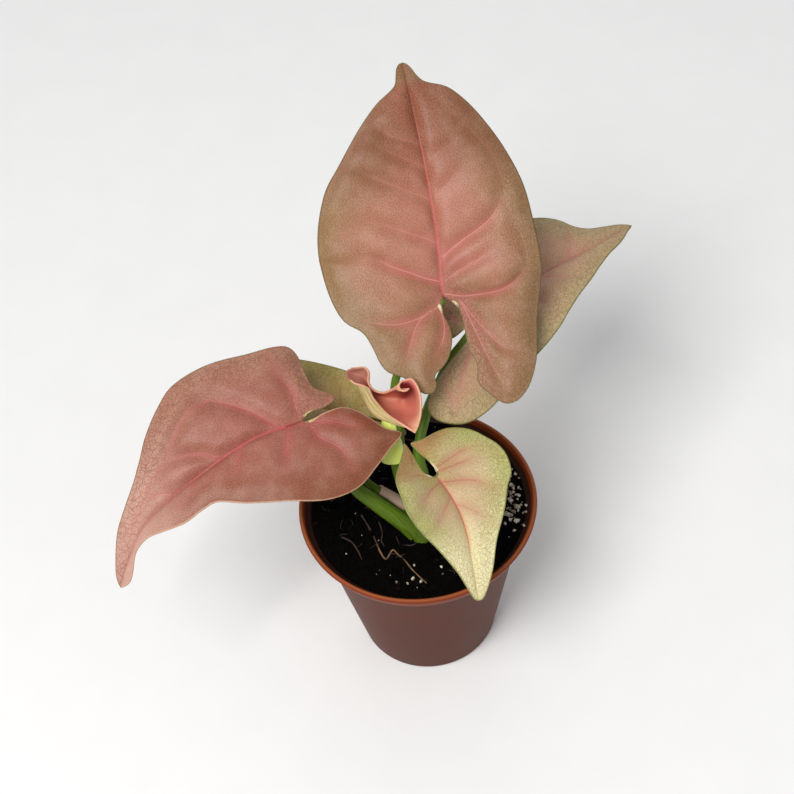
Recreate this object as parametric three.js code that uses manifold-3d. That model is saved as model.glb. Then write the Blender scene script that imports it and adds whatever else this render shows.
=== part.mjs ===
// Young arrowhead plant in its nursery pot: six bent arrow-shaped blades on leaf stalks that rise from one
// crown. Millimetres, +Z up. The origin is the centre of the pot's underside.
import * as THREE from 'three';
import { mergeGeometries, mergeVertices } from 'three/addons/utils/BufferGeometryUtils.js';
import Module from 'manifold-3d';

const wasm = await Module();
wasm.setup();

// ---- Driving dimensions ---------------------------------------------------------------------------------

const GAP = 0.3; // clear space between pieces that touch on the plant
const BLADE_THICKNESS = 0.7;
const SHEATH_THICKNESS = 0.6;

const POT = {
  height: 52,
  rimRadius: 30,
  lipHeight: 2.6,
  lipWidth: 1.3,
  lipFootRadius: 29.2,
  collarHeight: 4.6,
  shoulderRadius: 26.3,
  footRadius: 18.3,
  footRound: 0.6,
  lipRound: 0.45,
  wall: 1,
  floor: 1.2,
  sides: 48,
  holes: 6,
  holeRadius: 2,
  holeCircle: 14,
};

const SOIL = {
  level: 49.4,
  moundHeight: 0.8,
  moundRadius: 9,
  clodHeight: 0.3,
  sides: 36,
  rings: 7,
};

const PERLITE = { count: 26, reach: 24, smallest: 0.6, largest: 1.3, raised: 0.15 };

// One root strand on the soil, from the back left to the front.
const STRAND = {
  path: [[-14.5, -1], [-12.5, -5.5], [-11.5, -9], [-10.5, -13], [-9.3, -14.8], [-7.5, -12.8], [-6.3, -14],
    [-4.7, -16.3], [-3, -19.5], [0, -23.5]],
  base: 0.45,
  top: 0.4,
  raised: 0.2,
};

const UP = new THREE.Vector3(0, 0, 1);
const FRONT = new THREE.Vector3(0, -1, 0);
const { clamp, degToRad: radians, lerp } = THREE.MathUtils;
const point = ([x, y, z]) => new THREE.Vector3(x, y, z);

// ---- Solids ---------------------------------------------------------------------------------------------

/** Copy of a geometry's places with shared vertices merged and collapsed triangles left out. */
function welded(geometry) {
  const plain = geometry.clone();
  plain.deleteAttribute('normal');
  plain.deleteAttribute('uv');
  const merged = mergeVertices(plain, 1e-3);
  const kept = [];
  for (let i = 0; i < merged.index.count; i += 3) {
    const [a, b, c] = [0, 1, 2].map((corner) => merged.index.getX(i + corner));
    if (a !== b && b !== c && c !== a) {
      kept.push(a, b, c);
    }
  }
  merged.setIndex(kept);
  return merged;
}

/** Manifold solid of a closed geometry. */
function solidOf(geometry) {
  const { attributes, index } = welded(geometry);
  const mesh = new wasm.Mesh({
    numProp: 3,
    vertProperties: new Float32Array(attributes.position.array),
    triVerts: new Uint32Array(index.array),
  });
  return new wasm.Manifold(mesh);
}

/** Geometry of a solid's largest connected body. */
function geometryOf(solid) {
  const largest = (best, body) => (body.volume() > best.volume() ? body : best);
  const mesh = solid.decompose().reduce(largest).getMesh();
  const geometry = new THREE.BufferGeometry();
  geometry.setAttribute('position', new THREE.BufferAttribute(new Float32Array(mesh.vertProperties), 3));
  geometry.setIndex(Array.from(mesh.triVerts));
  geometry.computeVertexNormals();
  return geometry;
}

/** Geometry of a cut solid, without slivers that hang on it by one point until its vertices are merged. */
function trimmed(solid) {
  return geometryOf(solidOf(geometryOf(solid)));
}

/** Lathed solid about +Z from a profile of [radius, height] pairs. */
function turned(profile, sides) {
  const points = profile.map(([radius, height]) => new THREE.Vector2(radius, height));
  return new THREE.LatheGeometry(points, sides).rotateX(Math.PI / 2);
}

/**
 * Closed plate of one thickness about a bent sheet, with the same triangles on both faces. The sheet's
 * points are flat, x across and y along, and surface(x, y) is the place that a point bends to. The plate's
 * direction is worked out over a reach on either side of the point, so that it turns smoothly where points
 * lie close together.
 */
function thickened(sheet, surface, reach, thickness) {
  const flat = welded(sheet);
  const { position } = flat.attributes;
  const count = position.count;
  const triangles = Array.from(flat.index.array);
  const faces = [[], []];
  for (let i = 0; i < count; i += 1) {
    const [x, y] = [position.getX(i), position.getY(i)];
    const across = surface(x + reach, y).sub(surface(x - reach, y));
    const along = surface(x, y + reach).sub(surface(x, y - reach));
    const push = across.cross(along).setLength(thickness / 2);
    faces[0].push(...surface(x, y).add(push).toArray());
    faces[1].push(...surface(x, y).sub(push).toArray());
  }
  const corners = [...triangles];
  const edges = new Set();
  for (let i = 0; i < triangles.length; i += 3) {
    const [a, b, c] = triangles.slice(i, i + 3);
    corners.push(c + count, b + count, a + count);
    for (const edge of [[a, b], [b, c], [c, a]]) {
      edges.add(edge.join());
    }
  }
  for (const edge of edges) {
    const [a, b] = edge.split(',').map(Number);
    if (!edges.has([b, a].join())) {
      corners.push(a, a + count, b, b, a + count, b + count);
    }
  }
  const plate = new THREE.BufferGeometry();
  plate.setAttribute('position', new THREE.Float32BufferAttribute(faces.flat(), 3));
  plate.setIndex(corners);
  return plate;
}

/** Seeded random numbers between 0 and 1. */
function randomFrom(seed) {
  let state = seed;
  return () => {
    state = (state * 1664525 + 1013904223) % 4294967296;
    return state / 4294967296;
  };
}

// ---- Leaf blades ----------------------------------------------------------------------------------------
// A blade is drawn flat and then bent. On the flat leaf u runs along the midrib, 0 where the stalk joins
// and positive towards the tip, and w is the distance from the midrib. Each half's outline runs from the
// tip, round the back lobe, to the notch at the stalk. The spine is the bent midrib: its first point
// carries the lobes, its second is the stalk's joint and its last is the tip. Roll, fold and curl have
// values at the lobes, the joint, the middle and the tip: roll lowers the right half, fold raises both
// halves into a V, and curl turns them further for each millimetre out.

const SLANT = 0.35; // side veins run this far forward for each millimetre outward
const FORWARD_ROWS = 9;
const RIB_ARC = 0.6; // how far a lobe's rib arches on its way to the lobe's end
const LOBE_ROWS = 4;
const COLUMNS = 5;
const SPINE_STEPS = 40; // samples of each span of the spine
const EDGE_SAMPLES = 400;
const BLADE_REACH = 0.8; // millimetres either side over which a blade's direction is worked out
const WRAP_REACH = 0.03; // the same on a half-rolled blade or a sheath, as a share of its size

/** Value at u of four keys set at the lobes, the joint, the middle and the tip. */
function keyed(values, u, back, front) {
  const stops = [-back, 0, front / 2, front];
  const place = clamp(u, -back, front);
  const span = Math.min(stops.findLastIndex((stop) => place >= stop), 2);
  const share = (place - stops[span]) / (stops[span + 1] - stops[span]);
  return lerp(values[span], values[span + 1], share);
}

/** Function from a point of the flat leaf, v negative on the left half, to its place on the bent blade. */
function bender({ spine, roll, fold, curl, wave }) {
  const curve = new THREE.CatmullRomCurve3(spine.map(point), false, 'catmullrom', 0.5);
  const lengths = curve.getLengths(SPINE_STEPS * (spine.length - 1));
  const back = lengths[SPINE_STEPS];
  const front = lengths.at(-1) - back;
  const midrib = (u) => {
    const share = (u + back) / (front + back);
    const inside = clamp(share, 0, 1);
    const past = (share - inside) * (front + back);
    return curve.getPointAt(inside).addScaledVector(curve.getTangentAt(inside), past);
  };
  return (v, u) => {
    const along = midrib(u + 0.5).sub(midrib(u - 0.5)).normalize();
    const level = new THREE.Vector3().crossVectors(along, UP).normalize();
    const face = new THREE.Vector3().crossVectors(level, along);
    const tilt = radians(keyed(roll, u, back, front));
    const side = level.clone().multiplyScalar(Math.cos(tilt)).addScaledVector(face, -Math.sin(tilt));
    const normal = face.clone().multiplyScalar(Math.cos(tilt)).addScaledVector(level, Math.sin(tilt));
    const half = v < 0 ? 0 : 1;
    const width = Math.abs(v);
    const start = radians(keyed(fold[half], u, back, front));
    const turn = radians(keyed(curl[half], u, back, front)) + 1e-6;
    const out = (Math.sin(start + turn * width) - Math.sin(start)) / turn;
    const rise = (Math.cos(start) - Math.cos(start + turn * width)) / turn;
    const phase = (2 * Math.PI * u) / wave.length + 2 * half;
    const ripple = wave.height * (width / wave.reach) ** 2 * Math.sin(phase);
    return midrib(u).addScaledVector(side, out * Math.sign(v)).addScaledVector(normal, rise + ripple);
  };
}

/** Rows of one half: pairs of an inner and an outer point on the flat leaf, from the tip to the notch. */
function halfRows(outline, lobeRib) {
  const curve = new THREE.SplineCurve(outline.map(([u, w]) => new THREE.Vector2(u, w)));
  const samples = curve.getSpacedPoints(EDGE_SAMPLES);
  const hip = samples.findIndex((sample) => sample.x - SLANT * sample.y <= 0);
  const lobeEnd = samples.reduce((best, sample, i) => (sample.x < samples[best].x ? i : best), 0);
  const last = samples.length - 1;
  const rows = [];
  for (let row = 0; row < FORWARD_ROWS; row += 1) {
    const u = samples[0].x * (1 - row / FORWARD_ROWS);
    const outer = samples.find((sample) => sample.x - SLANT * sample.y <= u + 1e-9);
    rows.push({ inner: new THREE.Vector2(u, 0), outer });
  }
  const joint = new THREE.Vector2();
  const ribEnd = new THREE.Vector2(...lobeRib);
  const aim = samples[lobeEnd].clone().sub(ribEnd).setLength(RIB_ARC * ribEnd.length());
  const rib = new THREE.QuadraticBezierCurve(joint, ribEnd.clone().sub(aim), ribEnd);
  for (const [from, to] of [[hip, lobeEnd], [lobeEnd, last]]) {
    const outward = to === lobeEnd;
    for (let row = outward ? 0 : 1; row <= LOBE_ROWS; row += 1) {
      const share = row / LOBE_ROWS;
      const inner = rib.getPoint(outward ? share : Math.max(1 - share, 1 / LOBE_ROWS));
      rows.push({ inner, outer: samples[Math.round(lerp(from, to, share))] });
    }
  }
  rows.push({ inner: joint, outer: joint });
  return rows;
}

/** Flat grid of one half blade: x is the distance from the midrib, negative on the left half. */
function halfSheet(leaf, half) {
  const rows = halfRows(leaf.outline[half], leaf.lobeRib[half]);
  const sign = half === 0 ? -1 : 1;
  const sheet = new THREE.PlaneGeometry(1, 1, COLUMNS, rows.length - 1);
  const { position } = sheet.attributes;
  for (let i = 0; i < position.count; i += 1) {
    const column = i % (COLUMNS + 1);
    const { inner, outer } = rows[Math.floor(i / (COLUMNS + 1))];
    const flat = inner.clone().lerp(outer, column / COLUMNS);
    position.setXYZ(i, sign * flat.y, flat.x, 0);
  }
  if (half === 0) {
    sheet.setIndex(Array.from(sheet.index.array).reverse());
  }
  return sheet;
}

/** Plate of a half-rolled blade, smooth through stations from one end to the other. */
function rolledPlate({ stations, rows, columns }, thickness) {
  const through = (places, share) => {
    return new THREE.CatmullRomCurve3(places, false, 'catmullrom', 0.5).getPoint(share);
  };
  const surface = (x, y) => {
    const across = clamp(x + 0.5, 0, 1);
    const places = stations.map((station) => through(station.map(point), across));
    return through(places, clamp(0.5 - y, 0, 1));
  };
  return thickened(new THREE.PlaneGeometry(1, 1, columns, rows), surface, WRAP_REACH, thickness);
}

/** Plate of a whole blade. */
function bladePlate(leaf, thickness) {
  if (leaf.rolled) {
    return rolledPlate(leaf.rolled, thickness);
  }
  const halves = [0, 1].map((half) => halfSheet(leaf, half));
  return thickened(mergeGeometries(halves), bender(leaf), BLADE_REACH, thickness);
}

/** Space that the neighbours of a blade keep clear of. */
function roomRound(leaf) {
  const plate = solidOf(bladePlate(leaf, BLADE_THICKNESS + 2 * GAP));
  const shifts = [[GAP, 0, 0], [-GAP, 0, 0], [0, GAP, 0], [0, -GAP, 0]];
  return wasm.Manifold.union(shifts.map((shift) => plate.translate(shift)));
}

const even = (value) => [value, value, value, value];

const LEAVES = {
  // The tallest leaf stands up behind the pot and faces the front.
  blade_tall: {
    color: 0xb5826b,
    spine: [[14.5, 8, 90], [11.5, 23, 100], [11.5, 33, 109], [10.5, 45, 122], [9, 56, 132], [8, 64.5, 137]],
    roll: even(0),
    fold: [[10, 10, 10, 5], [10, 10, 10, 5]],
    curl: [even(-0.7), even(-0.7)],
    wave: { height: 0.5, reach: 25, length: 24 },
    outline: [
      [[56.3, 0], [55.9, 1], [54.9, 1.8], [53.1, 2.3], [51, 3], [49.5, 4.6], [47, 8.5], [42, 14], [35, 20],
        [28, 25], [18, 28], [8, 28], [0, 25], [-3.5, 21], [-7, 19.7], [-11, 19.1], [-13.5, 18.1],
        [-14.9, 16.5], [-16.6, 14.2], [-19.5, 12.7], [-21.3, 10.8], [-21.3, 9], [-19.9, 7.8], [-17.5, 7.4],
        [-16.1, 5.1], [-14.2, 3], [-11, 1.3], [-8.1, 0.8], [-5.3, 1.1], [-1.6, 1.7]],
      [[56.3, 0], [55.7, 0.9], [54.3, 1.8], [52.6, 2.5], [50.9, 3.6], [49.9, 5.1], [48, 9], [44, 12.5],
        [38, 16.1], [31, 19.4], [23, 22], [14, 23.2], [5, 24], [-3, 23], [-10, 20.5], [-18.2, 17.7],
        [-22, 16], [-25.9, 13.3], [-28.3, 10], [-28.4, 7.2], [-26.9, 5.3], [-24.7, 3.8], [-22.9, 2.6],
        [-21, 2.1], [-18.8, 2.8], [-16.8, 3.1], [-14.1, 2.3], [-10.9, 2.5], [-6.8, 2.9], [-3, 2.8],
        [-1.5, 1.8]],
    ],
    lobeRib: [[-13, 8.5], [-17, 10.5]],
  },
  // The back leaf spreads to the right under the tallest one.
  blade_back: {
    color: 0xb39a72,
    spine: [[9.5, 20, 84], [19.5, 26.5, 86], [36.5, 37, 89], [50.5, 45.5, 88], [63, 55, 85]],
    roll: even(5),
    fold: [[8, 8, 8, 5], [8, 8, 8, 5]],
    curl: [even(-0.5), even(-0.5)],
    wave: { height: 0.5, reach: 20, length: 26 },
    outline: [
      [[52.5, 0], [49, 2], [45, 3.5], [41, 5], [38, 7.5], [36, 11], [33, 13.5], [29, 15.5], [23, 17.5],
        [15, 19], [6, 20], [-2, 20], [-8, 18.5], [-13, 15], [-15, 11], [-13.5, 7], [-11, 3.5],
        [-7.5, 0.9], [-4.5, 0.7], [-1.3, 1]],
      [[52.5, 0], [50, 1], [45, 3], [39, 4.5], [34, 6.5], [29, 9], [23, 11.5], [18, 13.5], [13, 15.5],
        [5, 17.5], [-4, 19], [-12, 20.5], [-18, 20.5], [-22, 19], [-25, 15], [-25, 11], [-22, 8],
        [-17, 5.5], [-12, 4], [-5, 2.5], [-1.5, 1.5]],
    ],
    lobeRib: [[-8, 9.5], [-15, 12]],
  },
  // The youngest leaf is still half rolled, above the crown. Its stations run from the left lobe to the
  // tip, each from the near margin over the floor to the far margin.
  blade_young: {
    color: 0xd97c66,
    rolled: {
      stations: [
        [[-12.6, 10.3, 88.6], [-13.4, 11.7, 88], [-13.6, 12.9, 88],
          [-13.5, 13.6, 88.1], [-13, 13.9, 88.3], [-12.3, 14, 88.4]],
        [[-11.6, 8.9, 88.9], [-12.2, 11, 87.4], [-12, 12.8, 86.8],
          [-11.7, 13.8, 86.9], [-11.2, 14, 87.7], [-10.7, 13.8, 88.6]],
        [[-10.2, 7.7, 89.5], [-11.1, 9.4, 87.7], [-10.3, 12.3, 86.3],
          [-9.8, 13.3, 86.3], [-9.3, 13.6, 87.4], [-8.9, 13.6, 88.6]],
        [[-9.1, 6.8, 89.8], [-10.6, 7.9, 87.8], [-9.4, 11, 85.7],
          [-8.7, 12.3, 85.2], [-8.3, 12.3, 86.8], [-8.1, 12.1, 88.4]],
        [[-8.4, 5.7, 90.3], [-10.1, 5.8, 88], [-9, 9.3, 85.5],
          [-8.4, 11, 84.6], [-8.4, 10.5, 86.3], [-8.4, 9.6, 88.3]],
        [[-7.6, 2.6, 90.5], [-9.3, 2.9, 88.2], [-7.9, 6.9, 85.4],
          [-7.2, 8.6, 84.8], [-7.2, 8, 86.5], [-7.5, 6.9, 88.4]],
        [[-5.9, -0.7, 90.5], [-8.2, 0.1, 88.3], [-6.2, 4.5, 85.5],
          [-5.2, 6.5, 85.5], [-5, 6.3, 87.1], [-5.3, 5.5, 88.6]],
        [[-4.5, -2.7, 90.2], [-6.7, -1.8, 88.2], [-4.1, 2.4, 85.4],
          [-2.4, 5.4, 85.8], [-2.4, 5.5, 88], [-3.3, 4.8, 90]],
        [[-2.9, -4.2, 89.7], [-4.3, -3, 87.9], [-1.3, 1.6, 85.1],
          [-0.1, 4.9, 85.8], [-0.8, 4.7, 88.8], [-1.8, 4.1, 91.7]],
        [[-0.9, -5.9, 89.1], [-0.9, -4.4, 87.6], [1.5, -0.9, 87.2],
          [2.1, 2.2, 90.1], [0.5, 3.9, 92.3], [-1.4, 3.8, 93]],
        [[1.1, -7.3, 88], [2.1, -5.4, 88.7], [3, -2.7, 90.3],
          [3.2, 0.9, 92.4], [1.6, 4.2, 94.1], [-0.9, 3.9, 93.8]],
      ],
      rows: 14,
      columns: 7,
    },
  },
  // The left leaf reaches out past the pot and hangs its tip.
  blade_left: {
    color: 0xb5746a,
    spine: [[-15, 10.5, 79], [-25.5, 6.5, 80], [-37, 2.5, 80.5], [-48.5, -3, 78], [-60, -7.5, 72],
      [-67.5, -10.5, 65], [-75, -15, 50]],
    roll: [-15, -20, -15, -5],
    fold: [[5, 8, 20, 25], [8, 8, 15, 20]],
    curl: [even(-0.5), even(-0.5)],
    wave: { height: 0.6, reach: 20, length: 28 },
    outline: [
      [[67, 0], [64, 2.5], [61, 4], [58, 3.5], [54, 2], [48, 3.5], [42, 6.5], [36, 9], [31, 9], [27, 9.5],
        [22, 14], [16, 17.5], [9, 19.5], [1, 21], [-6, 20.5], [-12, 17.5], [-17, 14.5], [-21, 12],
        [-18, 9.5], [-15, 5.5], [-11, 1.5], [-6, 1], [-1.5, 1]],
      [[67, 0], [64, 2], [59, 3.5], [53, 5], [47, 6.5], [42, 9], [38, 11.5], [33, 15.5], [27, 19],
        [21, 21.5], [14, 22], [7, 20.5], [0, 20], [-4, 19], [-5.5, 16], [-5.5, 11], [-6, 7], [-10, 3.2],
        [-7, 1.5], [-3, 1.5], [-1, 1]],
    ],
    lobeRib: [[-11, 9.5], [-4.5, 5]],
  },
  // The front leaf hangs over the rim.
  blade_front: {
    color: 0xd8d58c,
    spine: [[-1, -5, 82], [5, -11.5, 76], [8.5, -16.5, 72], [10.5, -22.5, 67], [11.5, -35, 58]],
    roll: even(0),
    fold: [even(5), [25, 25, 25, 15]],
    curl: [even(-0.3), even(-0.3)],
    wave: { height: 0.3, reach: 15, length: 18 },
    outline: [
      [[31, 0], [28, 2.5], [24, 4.5], [18, 6.5], [14, 9], [10, 12.5], [7.5, 15.5], [4, 17.2], [0, 16],
        [-3.5, 14], [-6.5, 10.5], [-8, 7], [-9, 3], [-10, 0.6], [-7.5, 0.5], [-4, 1], [-1.2, 1]],
      [[31, 0], [28, 2], [24, 4], [20, 6.5], [13, 11], [7, 13.5], [2, 14.8], [-3, 13.5], [-6.5, 11.5],
        [-8.5, 7], [-10, 3], [-11, 1.2], [-8.5, 1.4], [-5.5, 2.4], [-3, 2.8], [-1.2, 1.6]],
    ],
    lobeRib: [[-4.5, 5], [-4.5, 6]],
  },
  // The lowest leaf lies under the left one.
  blade_under: {
    color: 0x9a8c4a,
    spine: [[-6, 14, 67], [-14.5, 17, 68], [-26.5, 21.5, 69], [-39, 25.5, 68], [-51.5, 28.5, 64]],
    roll: even(-5),
    fold: [even(5), even(5)],
    curl: [even(-0.3), even(-0.3)],
    wave: { height: 0.4, reach: 12, length: 20 },
    outline: [
      [[39.5, 0], [34, 5], [27, 9.5], [19, 12.5], [10, 13.5], [2, 12.5], [-5, 9.5], [-10, 6.5],
        [-13.5, 4.2], [-15.2, 2.2], [-14.3, 0.8], [-12, 0.4], [-8, 0.35], [-4, 0.4], [-1.3, 0.8]],
      [[39.5, 0], [34, 6], [28, 10], [20, 12], [12, 12.5], [5, 12], [0, 10.3], [-4, 8.5], [-8, 6.4],
        [-11.5, 4.2], [-13.8, 2.2], [-13.4, 0.8], [-11.5, 0.4], [-8, 0.35], [-4, 0.4], [-1.3, 0.8]],
    ],
    lobeRib: [[-8, 4], [-7, 3.6]],
  },
};

// ---- Stalks and sheaths ---------------------------------------------------------------------------------

const STALK_STEP = 4.5;

/** Round tapered stalk along a route, with closed ends, made larger all round by an extra. */
function stalk({ route, base, top, sides = 8 }, extra = 0) {
  const curve = new THREE.CatmullRomCurve3(route.map(point), false, 'catmullrom', 0.5);
  const steps = Math.round(curve.getLength() / STALK_STEP);
  const tube = new THREE.CylinderGeometry(1, 1, 1, sides, steps);
  const { position } = tube.attributes;
  for (let i = 0; i < position.count; i += 1) {
    const share = position.getY(i) + 0.5;
    const along = curve.getTangentAt(share);
    const level = new THREE.Vector3().crossVectors(along, FRONT).normalize();
    const face = new THREE.Vector3().crossVectors(level, along);
    const radius = lerp(base, top, share) + extra;
    const place = curve.getPointAt(share)
      .addScaledVector(along, share % 1 === 0 ? Math.sign(share - 0.5) * extra : 0)
      .addScaledVector(level, position.getX(i) * radius)
      .addScaledVector(face, position.getZ(i) * radius);
    position.setXYZ(i, place.x, place.y, place.z);
  }
  return tube;
}

/**
 * Plate wrapped part of the way round a route. Angles turn from the plant's right towards its front. The
 * radius and the flare of the free edges have values at the foot and at the top.
 */
function sheath({ route, radius, from, to, flare }) {
  const curve = new THREE.CatmullRomCurve3(route.map(point), false, 'catmullrom', 0.5);
  const surface = (x, y) => {
    const share = clamp(y + 0.5, 0, 1);
    const across = x + 0.5;
    const along = curve.getTangentAt(share);
    const level = new THREE.Vector3().crossVectors(along, UP).normalize();
    const face = new THREE.Vector3().crossVectors(level, along);
    const angle = radians(lerp(from, to, across));
    const edge = Math.abs(2 * across - 1) ** 3;
    const reach = lerp(...radius, share) * (1 + edge * lerp(...flare, share));
    return curve.getPointAt(share)
      .addScaledVector(level, Math.cos(angle) * reach)
      .addScaledVector(face, Math.sin(angle) * reach);
  };
  return thickened(new THREE.PlaneGeometry(1, 1, 9, 6), surface, WRAP_REACH, SHEATH_THICKNESS);
}

const CROWN = { route: [[2.4, -6.2, 38], [2.4, -6.4, 49], [2.2, -6, 55]], base: 3.6, top: 2.6, sides: 12 };

const STALKS = {
  petiole_left: {
    route: [[1.2, -10.6, 46.5], [-3.1, -7.7, 52], [-10.5, -3.7, 58], [-15, -1, 62], [-20, 3.5, 70],
      [-24, 6, 77], [-25.2, 6.6, 80]],
    base: 2.4,
    top: 1.1,
    blade: 'blade_left',
  },
  petiole_tall: {
    route: [[-0.6, -2.2, 46.5], [-2.6, -1.8, 55], [-4, 1, 61], [-4.5, 4, 66], [-4.5, 7.5, 72], [-3, 11, 79],
      [-1.5, 14, 84.5], [3.5, 18, 91.5], [9.5, 21.5, 97.5], [11.5, 23, 100]],
    base: 1.2,
    top: 0.9,
    blade: 'blade_tall',
  },
  petiole_back: {
    route: [[5.2, -2, 46.5], [2.8, -1, 57], [2, 1.5, 62], [1.5, 3.5, 65.5], [2, 5.5, 68], [5, 11, 74],
      [8, 15, 77.5], [11.5, 20, 80.5], [15.5, 23, 83.5], [19.3, 26.4, 86]],
    base: 1.6,
    top: 0.9,
    blade: 'blade_back',
  },
  petiole_front: {
    route: [[6.7, -8.5, 46.5], [5.2, -7.5, 58], [5, -8.5, 67], [5, -11.3, 76]],
    base: 1.2,
    top: 0.8,
    blade: 'blade_front',
  },
  petiole_young: {
    route: [[-2, 1.5, 61.5], [-2.3, 3.5, 66], [-2.4, 5.6, 71], [-2, 6, 75.5], [-1.5, 4.6, 79.5],
      [-1.3, 3.2, 82.5]],
    base: 1,
    top: 0.8,
    blade: 'blade_young',
  },
  petiole_under: {
    route: [[-2.6, -4.6, 46.5], [-4.5, -2.7, 54], [-9.5, 1, 56.5], [-12.5, 3, 59.5], [-15, 8, 63],
      [-14.5, 14, 65.5], [-14.3, 16.8, 68]],
    base: 1.2,
    top: 0.8,
    blade: 'blade_under',
  },
};

const SHEATHS = {
  // Fresh sheath round the tall leaf's stalk, which the young leaf grew out of.
  sheath_fresh: {
    color: 0xa9bc4a,
    route: [[-4.5, 3.5, 65], [-4.6, 5.5, 68.5], [-4.6, 7.2, 72], [-4, 8.8, 75]],
    radius: [2.9, 2],
    from: 40,
    to: 235,
    flare: [0.3, 0.1],
  },
  // Dry scale at the foot of the lowest leaf's stalk.
  sheath_dry: {
    color: 0xc79a8c,
    route: [[-3.5, -2.5, 53], [-6.5, -1, 55], [-9.5, 0, 57.5]],
    radius: [1.9, 1.6],
    from: -40,
    to: 140,
    flare: [0.2, 0.3],
  },
};

// ---- Pot and soil ---------------------------------------------------------------------------------------

/** Radius of the pot's outside at a height under its flared collar. */
function wallRadius(height) {
  return lerp(POT.footRadius, POT.shoulderRadius, height / (POT.height - POT.collarHeight));
}

/** Radius of the pot's inside at a height under the lip, where the wall flares into the collar. */
function insideRadius(height) {
  const shoulder = POT.height - POT.collarHeight + POT.wall / 2;
  const lip = POT.height - POT.lipHeight + POT.wall / 2;
  const flare = Math.max(0, (height - shoulder) / (lip - shoulder));
  return lerp(wallRadius(Math.min(height, shoulder)), POT.lipFootRadius, flare) - POT.wall;
}

function potSolid() {
  const { height, rimRadius, lipHeight, lipWidth, lipFootRadius, lipRound } = POT;
  const { collarHeight, footRound, wall, floor } = POT;
  const shoulder = height - collarHeight;
  const lip = height - lipHeight;
  const shell = solidOf(turned([
    [0, 0],
    [wallRadius(0) - footRound, 0],
    [wallRadius(0), footRound],
    [wallRadius(shoulder / 2), shoulder / 2],
    [wallRadius(shoulder), shoulder],
    [lipFootRadius, lip],
    [rimRadius, height - lipRound],
    [rimRadius - lipRound, height],
    [rimRadius - lipWidth + lipRound, height],
    [rimRadius - lipWidth, height - lipRound],
    [insideRadius(lip + wall / 2), lip + wall / 2],
    [insideRadius(shoulder + wall / 2), shoulder + wall / 2],
    [insideRadius(floor), floor],
    [0, floor],
  ], POT.sides));
  const drains = Array.from({ length: POT.holes }, (_, i) => {
    const angle = (2 * Math.PI * i) / POT.holes;
    const drill = new THREE.CylinderGeometry(POT.holeRadius, POT.holeRadius, 5 * floor, 12);
    drill.rotateX(Math.PI / 2);
    drill.translate(POT.holeCircle * Math.cos(angle), POT.holeCircle * Math.sin(angle), 0);
    return solidOf(drill);
  });
  return shell.subtract(wasm.Manifold.union(drains));
}

const SOIL_EDGE = insideRadius(SOIL.level) - 1.5 * GAP;

/** Height of the soil's uneven top, with a low mound at the crown and a level edge. */
function soilTop(x, y) {
  const [crownX, crownY] = CROWN.route[0];
  const fromCrown = Math.hypot(x - crownX, y - crownY);
  const mound = SOIL.moundHeight * Math.exp(-((fromCrown / SOIL.moundRadius) ** 2));
  const clods = Math.sin(0.9 * x + 1) * Math.cos(0.8 * y) + Math.sin(1.7 * y - 0.6 * x);
  const inside = 1 - (Math.hypot(x, y) / SOIL_EDGE) ** 8;
  return SOIL.level + mound + SOIL.clodHeight * clods * inside;
}

/** Peat that fills the pot, with perlite grains and one root strand standing out of its top. */
function soilSolid() {
  const foot = POT.floor + GAP;
  const neck = POT.height - POT.collarHeight + GAP;
  const rings = Array.from({ length: SOIL.rings }, (_, i) => {
    return [SOIL_EDGE * (1 - i / SOIL.rings), SOIL.level];
  });
  const sides = [[insideRadius(foot) - GAP, foot], [insideRadius(neck) - GAP, neck]];
  const body = turned([[0, foot], ...sides, ...rings, [0, SOIL.level]], SOIL.sides);
  const { position } = body.attributes;
  for (let i = 0; i < position.count; i += 1) {
    const [x, y] = [position.getX(i), position.getY(i)];
    if (position.getZ(i) > SOIL.level - 1) {
      position.setZ(i, soilTop(x, y));
    }
  }
  const random = randomFrom(8);
  const grains = Array.from({ length: PERLITE.count }, () => {
    const angle = 2 * Math.PI * random();
    const reach = PERLITE.reach * Math.sqrt(random());
    const size = lerp(PERLITE.smallest, PERLITE.largest, random());
    const [x, y] = [reach * Math.cos(angle), reach * Math.sin(angle)];
    const grain = new THREE.IcosahedronGeometry(size, 0);
    grain.scale(1, 0.8, 0.75).rotateX(3 * random()).rotateZ(6 * random());
    grain.translate(x, y, soilTop(x, y) + PERLITE.raised);
    return solidOf(grain);
  });
  const { path, raised, ...ends } = STRAND;
  const root = stalk({ route: path.map(([x, y]) => [x, y, soilTop(x, y) + raised]), sides: 6, ...ends });
  return wasm.Manifold.union([solidOf(body), solidOf(root), ...grains]);
}

// ---- The plant ------------------------------------------------------------------------------------------

const plant = new THREE.Group();

function add(name, geometry, color, roughness) {
  const material = new THREE.MeshStandardMaterial({ color, roughness, metalness: 0 });
  const mesh = new THREE.Mesh(geometry, material);
  mesh.name = name;
  plant.add(mesh);
}

// The blades, each a thin plate.
for (const [name, leaf] of Object.entries(LEAVES)) {
  add(name, geometryOf(solidOf(bladePlate(leaf, BLADE_THICKNESS))), leaf.color, 0.5);
}

// The stalks stand round the crown. Each is cut clear of the crown, of the stalks before it and of its own
// blade.
const crown = solidOf(stalk(CROWN));
const standing = [solidOf(stalk(CROWN, GAP))];
for (const [name, { blade, ...shape }] of Object.entries(STALKS)) {
  const taken = wasm.Manifold.union([...standing, roomRound(LEAVES[blade])]);
  add(name, trimmed(solidOf(stalk(shape)).subtract(taken)), 0x5a8420, 0.5);
  standing.push(solidOf(stalk(shape, GAP)));
}
add('crown', geometryOf(crown), 0x6f9430, 0.55);

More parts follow.
